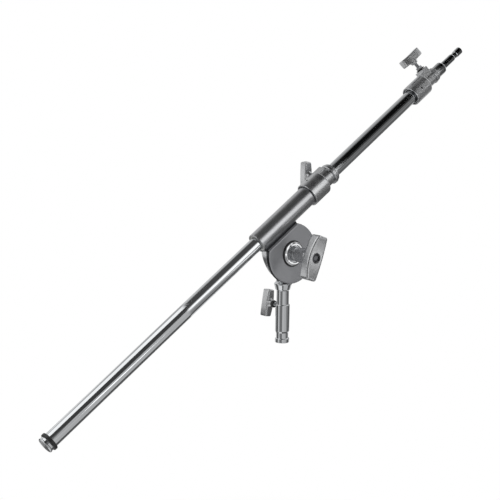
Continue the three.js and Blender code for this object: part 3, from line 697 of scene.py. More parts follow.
def spigotShaft():
    size = spigot
    plugRadius, plugFoot, plugTop = size["plug"]
    return [
        (0, size["socket"][1]),
        (size["socket"][0], size["socket"][1]),
        (size["socket"][0], 0, 0.8),
        (size["radius"], 0, 1.0),
        (size["radius"], size["tip"], 0.6),
        (size["grooveRadius"], size["tip"] + size["grooveRun"], 0.5),
        (size["grooveRadius"], size["grooveTop"], 1.0),
        (size["radius"], size["plainBottom"], 0.6),
        (size["radius"], size["shoulder"], 1.0),
        (size["neckRadius"], size["shoulder"], 0.8),
        (size["neckRadius"], size["neckTop"], 0.9),
        (*size["flareLow"], 0.7),
        (*size["flareTop"], 0.7),
        (size["flareTop"][0], size["lipTop"], 0.6),
        (size["stemRadius"], size["stemLow"], 0.5),
        (plugRadius, plugFoot, 0.1),
        (plugRadius, plugTop),
        (0, plugTop),
    ]


def spigotPieces():
    shaft = turnedBlank(spigotShaft(), sides=sidesOf["shaft"])
    holeRadius, holeDepth = spigot["screwHole"]
    hole = boreMesh(holeRadius, 0, holeDepth, tieDownPlace, sidesOf["screwHole"])
    drilled = carvedMesh("spigotShaft", shaft, [("cut", hole)], None, worldPlace)
    addPiece("spigotShaft", drilled, "chromed_steel", "spigot", "spigot_casting")
    size = spigotTop
    radius = spigot["stemRadius"]
    stem = turnedBlank(
        [
            (0, size["stemFoot"]),
            (radius, size["stemFoot"], 0.3),
            (radius, size["stemStraight"], 10),
            (*size["swell"], 8),
            (radius, size["swellTop"], 8),
            (0, size["stemEnd"]),
        ]
    )
    disc = turnedBlank(
        [
            (0, size["discBack"]),
            (size["discRadius"], size["discBack"], 2.2),
            (size["discRadius"], size["discFront"], 1.0),
            (0, size["discFront"]),
        ],
        pivotPlace,
        sidesOf["plate"],
    )
    steps = [("add", disc), ("cut", boreMesh(*size["boltHole"], pivotPlace))]
    top = carvedMesh("spigotHead", stem, steps, size["melt"], worldPlace)
    addPiece("spigotHead", top, "chromed_steel", "spigot", "spigot_casting")


spigotPieces()


# Tilting head: clamp plate, saddle under the sleeve and a skirt behind the rim at each end

head = {
    "plateRadius": 60.5,
    "plateBack": 20.5,
    "plateFront": 29.3,
    "rimRound": 1.3,
    "rimBand": (59.1, 21.4, 28.2),  # its root, under the plate's own rim, and its two edges
    "rimDepth": 0.4,  # how far the plate's rim stays inside the band
    "chord": 41,
    "bore": 5.4,
    "overrun": (5, 50),  # of cuts past the rim, and through the plate
    "saddleHalf": 46,
    "saddleFront": 21.3,
    "saddleFoot": 32,
    "saddleBottom": 41.1,
    "saddleBack": -1.9,
    "cradleTop": 50.1,
    "sleeveSpace": (20.8, 80),  # radius and half length of what is cut out for the sleeve
    "skirtInner": 49,
    "skirtBack": 1,
    "skirtLeast": 0.4,  # what is left of the skirt at its thin end
    "skirtAngles": (128, 186),
    "skirtSteps": 40,
    "plateMelt": (0.8, 4),
    "saddleMelt": (0.6, 3),
    "skirtMelt": (0.5, 3),
}


def skirtMesh(mirrored):
    size = head
    low, high = (math.radians(angle) for angle in reversed(size["skirtAngles"]))
    sign = -1 if mirrored else 1
    lowPoint = Vector((math.cos(low), math.sin(low))) * size["plateRadius"]
    run = Vector((math.cos(high), math.sin(high))) * size["plateRadius"] - lowPoint
    rings = []
    for step in range(size["skirtSteps"] + 1):
        angle = low + (high - low) * step / size["skirtSteps"]
        ring = []
        for radius in (size["skirtInner"], size["plateRadius"]):
            point = Vector((math.cos(angle), math.sin(angle))) * radius
            share = min(1, max(0, (point - lowPoint).dot(run) / run.length_squared))
            depth = size["plateBack"] - share * (size["plateBack"] - size["skirtBack"])
            ends = (-size["plateBack"], -depth + size["skirtLeast"])
            for end in ends if radius == size["skirtInner"] else reversed(ends):
                ring.append((sign * point.x, end, point.y))
        rings.append(ring)
    return loftMesh("skirt", rings)


def saddleBridge():
    size = head
    return blockMesh(
        (-size["saddleHalf"], -size["saddleFront"], size["saddleBottom"]),
        (size["saddleHalf"], -size["saddleBack"], size["cradleTop"]),
    )


def sleeveRoom():
    radius, reach = head["sleeveSpace"]
    return boreMesh(radius, -reach, reach, sleevePlace @ spin("Y", 90), sidesOf["tube"])


def saddleMesh():
    size = head
    foot = blockMesh(
        (-size["saddleHalf"], -size["saddleFront"], size["saddleFoot"]),
        (size["saddleHalf"], -size["plateBack"], setup["sleeveHeight"]),
    )
    steps = [("add", foot), ("cut", sleeveRoom())]
    return carvedMesh("saddle", saddleBridge(), steps, size["saddleMelt"], headPlace)


def aboveChord():
    pastRim, through = head["overrun"]
    reach = head["plateRadius"] + pastRim
    return blockMesh((-reach, -through, head["chord"]), (reach, 0, reach))


def rimBandMesh():
    # the rim band is darkened as painted shade, between the plate's face and the lit skirts
    root, back, front = head["rimBand"]
    outer = head["plateRadius"]
    profile = [(root, back, 0.1), (outer, back, 0.2), (outer, front, 0.2), (root, front, 0.1)]
    band = turnedBlank(profile, spin("X", 90), sidesOf["plate"])
    return carvedMesh("plateRim", band, [("cut", aboveChord())], None, headPlace)


def headCasting():
    size = head
    rim = size["plateRadius"] - size["rimDepth"]
    plate = turnedBlank(
        [
            (0, size["plateBack"]),
            (rim, size["plateBack"], 0.8),
            (rim, size["plateFront"], size["rimRound"]),
            (0, size["plateFront"]),
        ],
        spin("X", 90),
        sidesOf["plate"],
    )
    bore = boreMesh(size["bore"], 0, size["overrun"][1], spin("X", 90))
    steps = [("cut", aboveChord()), ("cut", bore)]
    return carvedMesh("headCasting", plate, steps, size["plateMelt"], headPlace)


addPiece("headCasting", headCasting(), "grey_enamel", "head", "head_casting", slot="satin_casting")
# rim band and saddle in darkened casting: painted shade
addPiece("plateRim", rimBandMesh(), "shaded_casting", "head", "head_casting", slot="satin_casting")
addPiece("saddle", saddleMesh(), "shaded_casting", "head", "head_casting", slot="satin_casting")
for skirtName, mirrored in (("rearSkirt", False), ("frontSkirt", True)):
    steps = [("cut", saddleBridge()), ("cut", sleeveRoom())]
    skirt = carvedMesh(skirtName, skirtMesh(mirrored), steps, head["skirtMelt"], headPlace)
    addPiece(skirtName, skirt, "satin_casting", "head", "head_casting")

bossRing = {
    "bore": 5.35,
    "radius": 24,
    "back": 29.6,
    "shoulder": 33.8,
    "step": (20.6, 35.0),
    "stepRun": 0.5,
    "front": 36.0,
    "recessRadius": 17.6,
    "recessFloor": 33.4,
}


def bossRingProfile():
    size = bossRing
    stepRadius, stepFront = size["step"]
    return [
        (size["bore"], size["back"]),
        (size["radius"], size["back"], 0.4),
        (size["radius"], size["shoulder"], 1.6),
        (stepRadius + size["stepRun"], stepFront, 0.5),
        (stepRadius, size["front"], 0.5),
        (size["recessRadius"], size["front"], 0.5),
        (size["recessRadius"], size["recessFloor"], 0.3),
        (size["bore"], size["recessFloor"], 0.2),
    ]


# what lies on the pivot bolt, from the back
bossCorners = bossRingProfile()
addRing("frictionDisc", headPivotPlace, "friction_fibre", "head", "friction_disc")
addTurned("bossRing", bossCorners, headPivotPlace, "turned_steel", "head", "boss_ring", slot="zinc_steel")
# black ring round the boss ring's foot: painted shade, standing for its contact shadow on the plate
addRing("ringShadeBand", headPivotPlace, "black_rubber", "head", "boss_ring", slot="zinc_steel")
addRing("thrustWasher", headPivotPlace, "zinc_steel", "head", "thrust_washer")
print("spigot and head made")


# Sleeve, boom tube and what closes its rear end, extension and baby pin: all turned about the boom

endCap = {
    "radius": 15.6,
    "bevel": 1.3,
    "band": 2.5,  # from the rear end to the rim's front
    "step": 3.8,  # and to the waist
    "waist": 14.8,
    "plug": 12.5,
    "head": (-608.9, -601.3),
    "plugEnd": -577.3,
}
glide = {"rim": 12.45, "rear": -92.1, "head": -90.3, "plug": 9.9, "end": -64.3}


def endCapProfile():
    size = endCap
    rear, front = size["head"]
    return [
        (0, rear),
        (size["radius"] - size["bevel"], rear, 0.6),
        (size["radius"], rear + size["bevel"], 0.7),
        (size["radius"], rear + size["band"], 0.5),
        (size["waist"], rear + size["step"], 0.5),
        (size["waist"], front, 0.4),
        (size["plug"], front, 0.2),
        (size["plug"], size["plugEnd"], 0.6),
        (0, size["plugEnd"]),
    ]


def glideProfile():
    size = glide
    return [
        (0, size["rear"]),
        (size["rim"], size["rear"], 0.5),
        (size["rim"], size["head"]),
        (size["plug"], size["head"]),
        (size["plug"], size["end"], 0.6),
        (0, size["end"]),
    ]


addRing("sleeveTube", alongBoom, "satin_tube", "head", "sleeve_tube", sidesOf["tube"])
addRing("rearBushing", alongBoom, "pale_nylon", "head", "sleeve_rear_bushing")
addRing("boomTube", alongBoom, "chromed_steel", "boom", "boom_tube", sidesOf["tube"])
addTurned("endCap", endCapProfile(), alongBoom, "chromed_steel", "boom", "boom_end_cap")
addRing("bumper", alongBoom, "black_rubber", "boom", "boom_bumper")
addRing("extensionTube", alongBoom, "chromed_steel", "extension", "extension_tube")
addTurned("extensionGlide", glideProfile(), alongBoom, "pale_nylon", "extension", "extension_glide")

babyPin = {
    "plug": (9.9, 508),  # radius, and where it starts along the boom
    "collar": (12, 538.3),
    "base": (13.1, 541.6, 563.6),
    "baseRound": 3,
    "radius": 7.95,
    "pinStart": 566.6,
    "cone": (605.1, 607.1),
    "grooveRadius": 6.5,
    "grooveEnd": 616.7,
    "grooveRun": 0.6,
    "tipEnd": 635.1,
    "tipBevel": 1.4,
}


def babyPinProfile():
    size = babyPin
    plug, plugStart = size["plug"]
    collar, collarStart = size["collar"]
    base, baseStart, baseEnd = size["base"]
    return [
        (0, plugStart),
        (plug, plugStart, 0.6),
        (plug, collarStart),
        (collar, collarStart),
        (collar, baseStart, 0.2),
        (base, baseStart, 0.8),
        (base, baseEnd + size["baseRound"], size["baseRound"]),
        (size["radius"], size["pinStart"], 0.8),
        (size["radius"], size["cone"][0], 0.8),
        (size["grooveRadius"], size["cone"][1], 0.8),
        (size["grooveRadius"], size["grooveEnd"], 0.4),
        (size["radius"], size["grooveEnd"] + size["grooveRun"], 0.3),
        (size["radius"], size["tipEnd"] - size["tipBevel"], 0.5),
        (size["radius"] - size["tipBevel"], size["tipEnd"], 0.5),
        (0, size["tipEnd"]),
    ]


addTurned("babyPin", babyPinProfile(), alongBoom, "chromed_steel", "extension", "baby_pin")
print("boom made")


# Clamp collars: cast body, neck, square lug and pad, with a turned flange at the front

collars = {
    "midCollar": {
        "node": "mid_collar",
        "body": "head",
        "start": 104.5,
        "bodyRadius": 25.3,
        "bodyEnd": 150,
        "corner": 4.5,
        "mouth": (22.6, 3.2),  # radius and depth
        "seat": (20.8, 141.5),  # radius, and its end along the boom
        "grip": 14.65,
        "neck": (17.8, 171.5),
        "flange": (21.8, 178.9, 1.8),  # the last one is its round
        "groove": (19, 180.1),
        "lip": (20, 183.1),
        "lug": (155.5, 9.5, 26),  # start, half width and reach
        "pad": (20, 16),
        "lugAngle": setup["midLug"],
        "clamp": setup["midClamp"],
        "grub": (121, 3, 2.2),  # place, turn about the boom and radius
    },
    "frontCollar": {
        "node": "front_collar",
        "body": "boom",
        "start": 453.5,
        "bodyRadius": 21.6,
        "bodyEnd": 502.5,
        "corner": 4.5,
        "mouth": (19, 5.2),
        "seat": (14.6, 494.5),
        "grip": 12.35,
        "neck": (14.9, 528),
        "flange": (16.6, 533, 1.6),
        "groove": (15, 534.4),
        "lip": (15.9, 539.4),
        "lug": (510.5, 13, 26.5),
        "pad": (13, 20.5),
        "lugAngle": setup["frontLug"],
        "clamp": setup["frontClamp"],
        "grub": (474.6, -65, 2.2),
    },
}
# shared by both: holes, and how far blanks run into or out of the casting
collarCuts = {
    "screwHole": 4.3,
    "shoeHole": 5.5,
    "shoeDepth": 3.5,
    "holeReach": 40,
    "padSink": 1,
    "boreStart": 4,
    "boreEnd": 5,
    "grubSink": 1,
    "melt": (0.6, 4),
}
# the flange's root, sunk into the neck's end so that no light gets through
flangeRoot = {"gap": 0.2, "inset": 0.6, "sink": 0.5, "clear": 0.05}


def collarPieces(name, size):
    start, bodyEnd = size["start"], size["bodyEnd"]
    mouthRadius, mouthDepth = size["mouth"]
    seatRadius, seatEnd = size["seat"]
    grip = size["grip"]
    neckRadius, neckEnd = size["neck"]
    flangeRadius, flangeEnd, flangeRound = size["flange"]
    toRing = spin("Y", 90)
    casting = turnedBlank(
        [
            (mouthRadius, start, 0.4),
            (size["bodyRadius"], start, 1.0),
            (size["bodyRadius"], bodyEnd, size["corner"]),
            (neckRadius, bodyEnd, 1.6),
            (neckRadius, neckEnd, 0.2),
            (grip, neckEnd, 0.2),
            (grip, seatEnd, 0.2),
            (seatRadius, seatEnd, 0.2),
            (seatRadius, start + mouthDepth, 0.2),
            (mouthRadius, start + mouthDepth, 0.2),
        ],
        toRing,
        sidesOf["tube"],
    )
    turn = spin("X", -size["lugAngle"])
    lugStart, lugHalf, lugReach = size["lug"]
    padHalf, padReach = size["pad"]
    lug = blockMesh((lugStart, -lugHalf, 0), (neckEnd, lugHalf, lugReach), turn)
    pad = blockMesh((bodyEnd - collarCuts["padSink"], -padHalf, 0), (neckEnd, padHalf, padReach), turn)
    boreStart, boreEnd = bodyEnd - collarCuts["boreStart"], neckEnd + collarCuts["boreEnd"]
    bore = boreMesh(grip, boreStart, boreEnd, toRing, sidesOf["tube"])
    screwPlace = shift(x=size["clamp"]) @ turn
    screwHole = boreMesh(collarCuts["screwHole"], 0, collarCuts["holeReach"], screwPlace)
    shoeRoom = boreMesh(collarCuts["shoeHole"], 0, grip + collarCuts["shoeDepth"], screwPlace)
    grubAlong, grubAngle, grubRadius = size["grub"]
    grubPlace = shift(x=grubAlong) @ spin("X", -grubAngle)
    grubFoot = seatRadius - collarCuts["grubSink"]
    grubHole = boreMesh(grubRadius, grubFoot, collarCuts["holeReach"], grubPlace, sidesOf["grubHole"])
    steps = [("add", lug), ("add", pad)]
    steps += [("cut", hole) for hole in (bore, screwHole, shoeRoom, grubHole)]
    mesh = carvedMesh(name, casting, steps, collarCuts["melt"], boomPlace)
    addPiece(name, mesh, "satin_casting", size["body"], size["node"])

    grooveRadius, grooveEnd = size["groove"]
    lipRadius, lipEnd = size["lip"]
    root = flangeRoot
    flange = [
        (grip + root["gap"], neckEnd - root["sink"], 0.1),
        (neckRadius - root["inset"], neckEnd - root["sink"], 0.1),
        (neckRadius - root["inset"], neckEnd + root["clear"], 0.1),
        (flangeRadius, neckEnd + root["clear"], flangeRound),
        (flangeRadius, flangeEnd, flangeRound),
        (grooveRadius, flangeEnd, 0.2),
        (grooveRadius, grooveEnd, 0.2),
        (lipRadius, grooveEnd, 0.3),
        (lipRadius, lipEnd, 0.8),
        (grip, lipEnd, 0.4),
    ]
    addTurned(name + "Flange", flange, alongBoom, "satin_casting", size["body"], size["node"])


for collarName, collarSize in collars.items():
    collarPieces(collarName, collarSize)

# ring in the front collar's mouth, and the spring clip that holds it
addRing("mouthRing", alongBoom, "black_plastic", "boom", "front_mouth_ring")
addRing("mouthClip", alongBoom, "zinc_steel", "boom", "front_mouth_ring", slot="black_plastic")

grubScrews = {
    "midGrubScrew": {"collar": "midCollar", "tip": 20.8, "top": 24.8, "node": "mid_collar_grub_screw"},
    "frontGrubScrew": {"collar": "frontCollar", "tip": 14.6, "top": 21.1, "node": "front_collar_grub_screw"},
}
grubForm = {
    "radius": 1.9,
    "tipBevel": 0.5,
    "topBevel": 0.3,
    "socketFlats": 2.0,
    "socketDepth": 1.8,
    "sides": 48,
}


def grubScrewMesh(name, size):
    # socket set screw, with a hexagon socket in its outer end
    form = grubForm
    sides, radius, tipBevel, topBevel = form["sides"], form["radius"], form["tipBevel"], form["topBevel"]
    low, high = size["tip"], size["top"]
    outline = [(radius - tipBevel, low), (radius, low + tipBevel)]
    outline += [(radius, high - topBevel), (radius - topBevel, high)]
    rings = [ringOf([point] * sides) for point in outline]
    hexagon = [hexRadius(form["socketFlats"], 360 * side / sides) for side in range(sides)]
    for level in (high, high - form["socketDepth"]):
        rings.append(ringOf([(distance, level) for distance in hexagon]))
    grubAlong, grubAngle = collars[size["collar"]]["grub"][:2]
    place = boomPlace @ shift(x=grubAlong) @ spin("X", -grubAngle)
    return finishedMesh(outwardFaces(loftMesh(name, rings)), place, socketAngle)


for screwName, screwSize in grubScrews.items():
    screw = grubScrewMesh(screwName, screwSize)
    addPiece(screwName, screw, "black_plastic", collars[screwSize["collar"]]["body"], screwSize["node"])
print("collars made")


# Cast T-handles, each with its hub along Z and its bar along X

smallHandle = {
    "length": 55,
    "depth": 17.5,
    "waistDepth": 18.5,
    "faceDip": 1.2,
    "width": 19.5,
    "endShare": 0.8,
    "edge": 2.4,
    "hubRadius": 8.6,
    "hubTip": 6.9,
    "hubReach": 24.3,
    "hole": (4.3, 14),  # radius and depth
    "recess": None,
    "melt": (0.5, 4),
}
largeHandle = {
    "length": 89,
    "depth": 27,
    "waistDepth": 27,
    "faceDip": 4.4,
    "width": 35.5,
    "endShare": 0.64,
    "edge": 4.2,
    "hubRadius": 15.6,
    "hubTip": 13.8,
    "hubReach": 66.9,
    "hole": (5.3, 60),
    "recess": (9.6, 13.4),
    "melt": (0.7, 4),
}
# shared by both
handleForm = {
    "backEdge": 1.5,  # rounds of the bar's back, against those of its face
    "leastEdge": 0.3,
    "steps": 6,  # in each round
    "stations": 20,  # from the middle to an end
    "hubShoulder": 1.5,
    "hubFillet": (1.2, 0.5),
    "hubRoot": (2, 4),  # the hub's end inside the bar
    "overrun": 2,
}


def barMesh(size, face):
    # boat-shaped bar lofted end to end, its edges well rounded
    half = size["length"] / 2
    edge = size["edge"]
    steps, middle = handleForm["steps"], handleForm["stations"]
    stations = []
    for step in range(steps + 1):
        angle = math.pi / 2 * (1 - step / steps)
        stations.append((-(half - edge) - edge * math.sin(angle), edge * (1 - math.cos(angle))))
    for step in range(1, 2 * middle):
        stations.append(((half - edge) * (step / middle - 1), 0))
    stations += [(-x, inset) for x, inset in reversed(stations[: steps + 1])]
    rings = []
    for x, inset in stations:
        share = abs(x) / half
        belly = size["endShare"] + (1 - size["endShare"]) * (1 - share**2)
        halfWidth = size["width"] / 2 * belly - inset
        outer = max(0, abs(x) - size["hubRadius"]) / (half - size["hubRadius"])
        depth = size["waistDepth"] + (size["depth"] - size["waistDepth"]) * outer
        top = face - size["faceDip"] * (1 - share**2) - inset
        bottom = face - depth + inset
        ring = []
        for centre, start in (((1, 1), 0), ((-1, 1), 90), ((-1, -1), 180), ((1, -1), 270)):
            corner = edge if centre[1] > 0 else edge * handleForm["backEdge"]
            corner = max(handleForm["leastEdge"], corner - inset)
            for step in range(steps + 1):
                angle = math.radians(start + 90 / steps * step)
                y = centre[0] * (halfWidth - corner) + corner * math.cos(angle)
                z = (top - corner if centre[1] > 0 else bottom + corner) + corner * math.sin(angle)
                ring.append((x, y, z))
        rings.append(ring)
    return loftMesh("bar", rings)


def handleMesh(name, size, face, place):
    bottom = face - size["hubReach"]
    waist = face - size["waistDepth"]
    radius = size["hubRadius"]
    out, up = handleForm["hubFillet"]
    inward, deep = handleForm["hubRoot"]
    overrun = handleForm["overrun"]
    hub = turnedBlank(
        [
            (0, bottom),
            (size["hubTip"], bottom, 1.0),
            (radius, waist - handleForm["hubShoulder"], 1.5),
            (radius + out, waist + up, 1.0),
            (radius - inward, waist + deep),
            (0, waist + deep),
        ],
        sides=sidesOf["hub"],
    )
    holeRadius, holeDepth = size["hole"]
    steps = [("add", hub), ("cut", boreMesh(holeRadius, bottom - overrun, bottom + holeDepth))]
    if size["recess"]:
        recessRadius, recessDepth = size["recess"]
        recess = boreMesh(recessRadius, face - recessDepth, face + overrun, sides=sidesOf["hub"])
        steps.append(("cut", recess))
    return carvedMesh(name, barMesh(size, face), steps, size["melt"], place)


pivotHandlePlace = pivotPlace @ spin("Z", setup["pivotBar"])
# each handle's size, the height of its face, its place, body and node
handles = {
    "midHandle": (smallHandle, 61.8, midClampPlace, "mid_clamp", "mid_handle"),
    "frontHandle": (smallHandle, 69.4, frontClampPlace, "front_clamp", "front_handle"),
    "tieDownHandle": (smallHandle, 51.6, tieDownPlace, "tie_down", "tie_down_handle"),
    "pivotHandle": (largeHandle, 103.3, pivotHandlePlace, "pivot_clamp", "pivot_handle"),
}
for handleName, (size, face, place, body, node) in handles.items():
    addPiece(handleName, handleMesh(handleName, size, face, place), "satin_casting", body, node)
print("handles made")


# Screws, nuts, washers and the pivot bolt

handleScrew = {"radius": 4, "pitch": 1.25, "plainTip": 1, "plainTop": 4}
# node, body, place, tip and top of each
handleScrews = {
    "midScrew": ("mid_handle_screw", "mid_clamp", midClampPlace, 18.45, 51.2),
    "frontScrew": ("front_handle_screw", "front_clamp", frontClampPlace, 16.15, 58.8),
    "tieDownScrew": ("tie_down_screw", "tie_down", tieDownPlace, 9.1, 41.0),
}
for screwName, (node, body, place, tip, top) in handleScrews.items():
    thread = (tip + handleScrew["plainTip"], top - handleScrew["plainTop"], handleScrew["pitch"])
    rod = screwMesh(screwName, handleScrew["radius"], tip, top, *thread, place)
    addPiece(screwName, rod, "zinc_steel", body, node)

jamNut = {"flats": 13, "height": 5.6, "bore": 4.3}
# node, body, place, seat and look of each
jamNuts = {
    "midNut": ("mid_handle_nut", "mid_clamp", midClampPlace, 29.3, "zinc_steel"),
    "frontNut": ("front_handle_nut", "front_clamp", frontClampPlace, 29.8, "zinc_steel"),
    "tieDownNut": ("tie_down_nut", "tie_down", tieDownPlace, 21.4, "black_plastic"),
}
for nutName, (node, body, place, seat, look) in jamNuts.items():
    nut = hexMesh(nutName, jamNut["flats"], jamNut["height"], jamNut["bore"], place @ shift(z=seat))
    addPiece(nutName, nut, look, body, node)

addRing("midWasher", midClampPlace, "black_plastic", "mid_clamp", "mid_handle_washer", sidesOf["hub"])
addRing("frontWasher", frontClampPlace, "black_plastic", "front_clamp", "front_handle_washer", sidesOf["hub"])

pivotNut = {"flats": 13.6, "height": 5, "bore": 5.3, "seat": 90.2}
nut = hexMesh(
    "pivotNut",
    pivotNut["flats"],
    pivotNut["height"],
    pivotNut["bore"],
    pivotHandlePlace @ shift(z=pivotNut["seat"]),
)
# darkened zinc steel: painted shade of the recess
addPiece("pivotNut", nut, "shaded_steel", "pivot_clamp", "pivot_handle_nut", slot="zinc_steel")

pivotBolt = {
    "radius": 5,
    "headFlats": 18,
    "headHeight": 7,
    "headFront": -5.9,
    "sink": 1,  # of the shank into the head
    "end": 95.9,
    "thread": 40,
    "plainEnd": 0.5,
    "pitch": 1.5,
}
boltHeadPlace = pivotPlace @ shift(z=pivotBolt["headFront"] - pivotBolt["headHeight"])
boltHead = hexMesh("pivotBoltHead", pivotBolt["headFlats"], pivotBolt["headHeight"], 0, boltHeadPlace)
addPiece("pivotBoltHead", boltHead, "zinc_steel", "spigot", "pivot_bolt")
shank = screwMesh(
    "pivotBoltShank",
    pivotBolt["radius"],
    pivotBolt["headFront"] - pivotBolt["sink"],
    pivotBolt["end"],
    pivotBolt["end"] - pivotBolt["thread"],
    pivotBolt["end"] - pivotBolt["plainEnd"],
    pivotBolt["pitch"],
    pivotPlace,
)
# darkened zinc steel: painted shade of the handle's bore and recess
addPiece("pivotBoltShank", shank, "shaded_steel", "spigot", "pivot_bolt", slot="zinc_steel")

# the two brake shoes stay as they are, in brass
for node in ("mid_brake_shoe", "front_brake_shoe"):
    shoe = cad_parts[node]
    shoe.data.materials.clear()
    shoe.data.materials.append(looks["brass"])
print("fasteners made")


# Studio, in metres: pale floor, soft lamps, and panels that only polished metal sees

view = {
    "azimuth": -38.5,
    "elevation": 9.18,
    "roll": 0.6,
    "distance": 2.1,
    "lens": 77.81,
    "sensor": 36,
    "clipEnd": 200,
}
studio = {
    "floorLevel": -0.85,
    "floorHalf": 40,
    "floorDepth": 0.02,
    "floorColour": "#f4f4f4",
    "fade": (0.6, 1.3),  # distances from the middle between which the floor turns white
    "ambient": 0.55,
    "target": (-0.08511, 0, 0.19575),
    "tentRadius": 0.8,
    "tentStep": 6,  # degrees
}
lamps = {
    "keyLamp": {"place": (-0.9, -0.9, 2.6), "size": 1.6, "power": 34},
    "fillLamp": {"place": (-2.4, -1.6, 0.9), "size": 1.6, "power": 16},
    "rimLamp": {"place": (1.8, 1.6, 1.8), "size": 1.2, "power": 14},
}
# Panels bent round the boom and round the spigot like light tents. Each panel's brightness stands at the
# angle where it starts, counted over the top from the side that faces the camera.
tents = {
    "endTent": {
        "span": (-1.3, -0.75),
        "panels": {-180: 0.1},
    },
    "rearTent": {
        "span": (-0.75, 0.04),
        "panels": {-180: 0.2, -130: 0.1, -95: 0.55, -8: 0.06, 49: 1.3, 98: 0.5, 150: 0.7},
    },
    "middleTent": {
        "span": (0.04, 0.66),
        "panels": {
            -180: 0.75, -120: 0.12, -84: 0.3, -50: 0.4, -42: 1.5,
            -4: 0.55, 7: 0.08, 85: 0.35, 100: 0.7,
        },
    },
    "frontTent": {
        "span": (0.66, 1.08),
        "panels": {
            -180: 0.5, -120: 0.14, -84: 0.24, -62: 0.16, -50: 0.19,
            -32: 0.05, -10: 0.005, 60: 0.12, 76: 0.42, 110: 0.6,
        },
    },
    "collarTent": {
        "span": (1.08, 1.155),
        "panels": {-180: 0.5, -110: 0.4, -55: 1.6, 15: 0.45, 85: 0.7},
    },
    "pinTent": {
        "span": (1.155, 1.5),
        "panels": {-180: 0.4, -125: 0.06, -76: 0.1, -44: 0.05, -26: 0.0, 68: 0.1, 96: 0.45},
    },
}
spigotTents = {
    "lowTent": {
        "span": (-0.5, 0.01),
        "panels": {
            -180: 0.14, -98: 0.12, -80: 1.0, -67: 0.62,
            5: 0.2, 42: 0.42, 50: 0.65, 76: 0.09, 112: 0.3,
        },
    },
    "highTent": {
        "span": (0.01, 0.12),
        "panels": {
            -180: 0.14, -105: 0.12, -80: 1.5, -60: 0.6, -44: 2.0, -14: 0.5,
            5: 0.2, 42: 0.42, 50: 0.7, 76: 0.12, 86: 0.95,
        },
    },
    "topTent": {
        "span": (0.12, 0.3),
        "panels": {-180: 0.14, -105: 0.22, -60: 0.6, 5: 0.2, 42: 0.42, 50: 0.7, 76: 0.12, 86: 0.95},
    },
}


def seenDirectly(tree):
    # 1 for rays from the camera, through glass or off a mirror, 0 for light that only fills in
    rays = addNode(tree, "ShaderNodeLightPath")
    seen = rays.outputs["Is Camera Ray"]
    for kind in ("Is Glossy Ray", "Is Transmission Ray"):
        seen = mathOf(tree, "MAXIMUM", seen, rays.outputs[kind])
    return seen


def makeFloor():
    # Matt white paper: a soft shadow near the part, fading to pure white
    material, tree = newMaterial("white paper sweep")
    distance = addNode(tree, "ShaderNodeVectorMath", {0: objectCoords(tree)}, operation="LENGTH")
    far = spreadOf(tree, distance.outputs["Value"], studio["fade"], (0.0, 1.0))
    share = mathOf(tree, "MULTIPLY", far, seenDirectly(tree))
    paper = addNode(
        tree,
        "ShaderNodeBsdfPrincipled",
        {"Base Color": srgb(studio["floorColour"]), "Roughness": 0.9, "Specular IOR Level": 0.2},
    )
    glow = addNode(tree, "ShaderNodeEmission", {"Color": (1, 1, 1, 1), "Strength": 1.0})
    mix = addNode(
        tree,
        "ShaderNodeMixShader",
        {"Fac": share, 1: paper.outputs["BSDF"], 2: glow.outputs["Emission"]},
    )
    addNode(tree, "ShaderNodeOutputMaterial", {"Surface": mix.outputs["Shader"]})
    half = studio["floorHalf"]
    mesh = blockMesh((-half, -half, -studio["floorDepth"]), (half, half, 0))
    mesh.materials.append(material)
    floor = newObject("floor", outwardFaces(mesh))
    floor.location.z = studio["floorLevel"]


def lookFrom(place, target):
    return (Vector(place) - Vector(target)).to_track_quat("Z", "Y")


def makeLamps():
    for name, item in lamps.items():
        lamp = bpy.data.lights.new(name, "AREA")
        lamp.shape = "SQUARE"
        lamp.size = item["size"]
        lamp.energy = item["power"]
        thing = newObject(name, lamp)
        thing.location = item["place"]
        thing.rotation_mode = "QUATERNION"
        thing.rotation_quaternion = lookFrom(item["place"], studio["target"])
        thing.visible_glossy = False
        thing.visible_camera = False


def viewAxes():
    azimuth, elevation = math.radians(view["azimuth"]), math.radians(view["elevation"])
    back = Vector(
        (
            math.sin(azimuth) * math.cos(elevation),
            -math.cos(azimuth) * math.cos(elevation),
            math.sin(elevation),
        )
    )
    right = Vector((math.cos(azimuth), math.sin(azimuth), 0))
    return right, back.cross(right), back


def tentPlace(origin, axis):
    # X along the axis, Y to the side that faces the camera
    axis = Vector(axis).normalized()
    back = viewAxes()[2]
    toward = (back - axis * back.dot(axis)).normalized()
    turn = Matrix((axis, toward, toward.cross(axis))).transposed().to_4x4()
    return Matrix.Translation(origin) @ turn


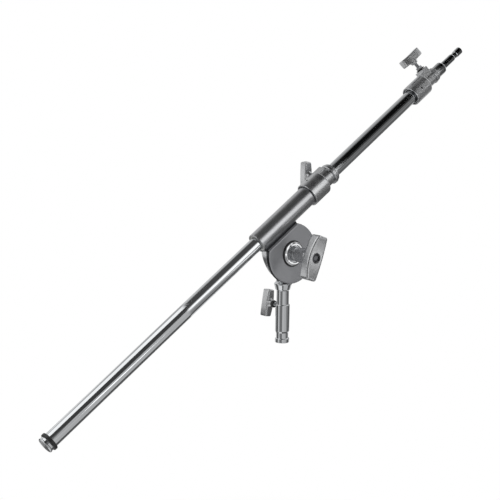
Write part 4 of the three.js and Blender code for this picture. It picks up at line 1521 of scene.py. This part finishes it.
def makeTent(name, place, item):
    # Cloth lit from behind: an even glow, one brightness to a panel
    starts = sorted(item["panels"])
    low, high = item["span"]
    for number, start in enumerate(starts):
        end = starts[number + 1] if number + 1 < len(starts) else 180
        panelName = f"{name}{number + 1}"
        material, tree = newMaterial(panelName + " cloth")
        glow = addNode(
            tree, "ShaderNodeEmission", {"Color": (1, 1, 1, 1), "Strength": item["panels"][start]}
        )
        addNode(tree, "ShaderNodeOutputMaterial", {"Surface": glow.outputs["Emission"]})
        steps = max(2, math.ceil((end - start) / studio["tentStep"]))
        radius = studio["tentRadius"]
        verts, faces = [], []
        for step in range(steps + 1):
            angle = math.radians(start + (end - start) * step / steps)
            for along in (low, high):
                verts.append((along, radius * math.cos(angle), radius * math.sin(angle)))
        for step in range(steps):
            faces.append([2 * step, 2 * step + 1, 2 * step + 3, 2 * step + 2])
        mesh = bpy.data.meshes.new(panelName)
        mesh.from_pydata(verts, [], faces)
        mesh.transform(place)
        mesh.materials.append(material)
        panel = newObject(panelName, mesh)
        panel.visible_camera = False
        panel.visible_diffuse = False
        panel.visible_shadow = False
        panel.visible_transmission = False


def makeTents():
    boomMiddle = boomPlace.translation * millimetre
    for name, item in tents.items():
        makeTent(name, tentPlace(boomMiddle, boomPlace.to_3x3() @ Vector((1, 0, 0))), item)
    for name, item in spigotTents.items():
        makeTent(name, tentPlace((0, 0, 0), (0, 0, 1)), item)


def makeWorld():
    world = bpy.data.worlds.new("studio air")
    bpy.context.scene.world = world
    world.use_nodes = True
    tree = world.node_tree
    tree.nodes.clear()
    plain = addNode(tree, "ShaderNodeBackground", {"Color": (1, 1, 1, 1), "Strength": studio["ambient"]})
    white = addNode(tree, "ShaderNodeBackground", {"Color": (1, 1, 1, 1), "Strength": 1.0})
    mix = addNode(
        tree,
        "ShaderNodeMixShader",
        {"Fac": seenDirectly(tree), 1: plain.outputs["Background"], 2: white.outputs["Background"]},
    )
    addNode(tree, "ShaderNodeOutputWorld", {"Surface": mix.outputs["Shader"]})


def makeCamera():
    right, up, back = viewAxes()
    roll = math.radians(view["roll"])
    tiltedRight = right * math.cos(roll) + up * math.sin(roll)
    tiltedUp = up * math.cos(roll) - right * math.sin(roll)
    camera = bpy.data.cameras.new("camera")
    camera.sensor_width = view["sensor"]
    camera.lens = view["lens"]
    camera.clip_end = view["clipEnd"]
    thing = newObject("camera", camera)
    turn = Matrix((tiltedRight, tiltedUp, back)).transposed().to_4x4()
    thing.matrix_world = Matrix.Translation(Vector(studio["target"]) + back * view["distance"]) @ turn
    bpy.context.scene.camera = thing


makeFloor()
makeLamps()
makeTents()
makeWorld()
makeCamera()
bpy.context.scene.view_settings.view_transform = "Standard"
print("studio made")
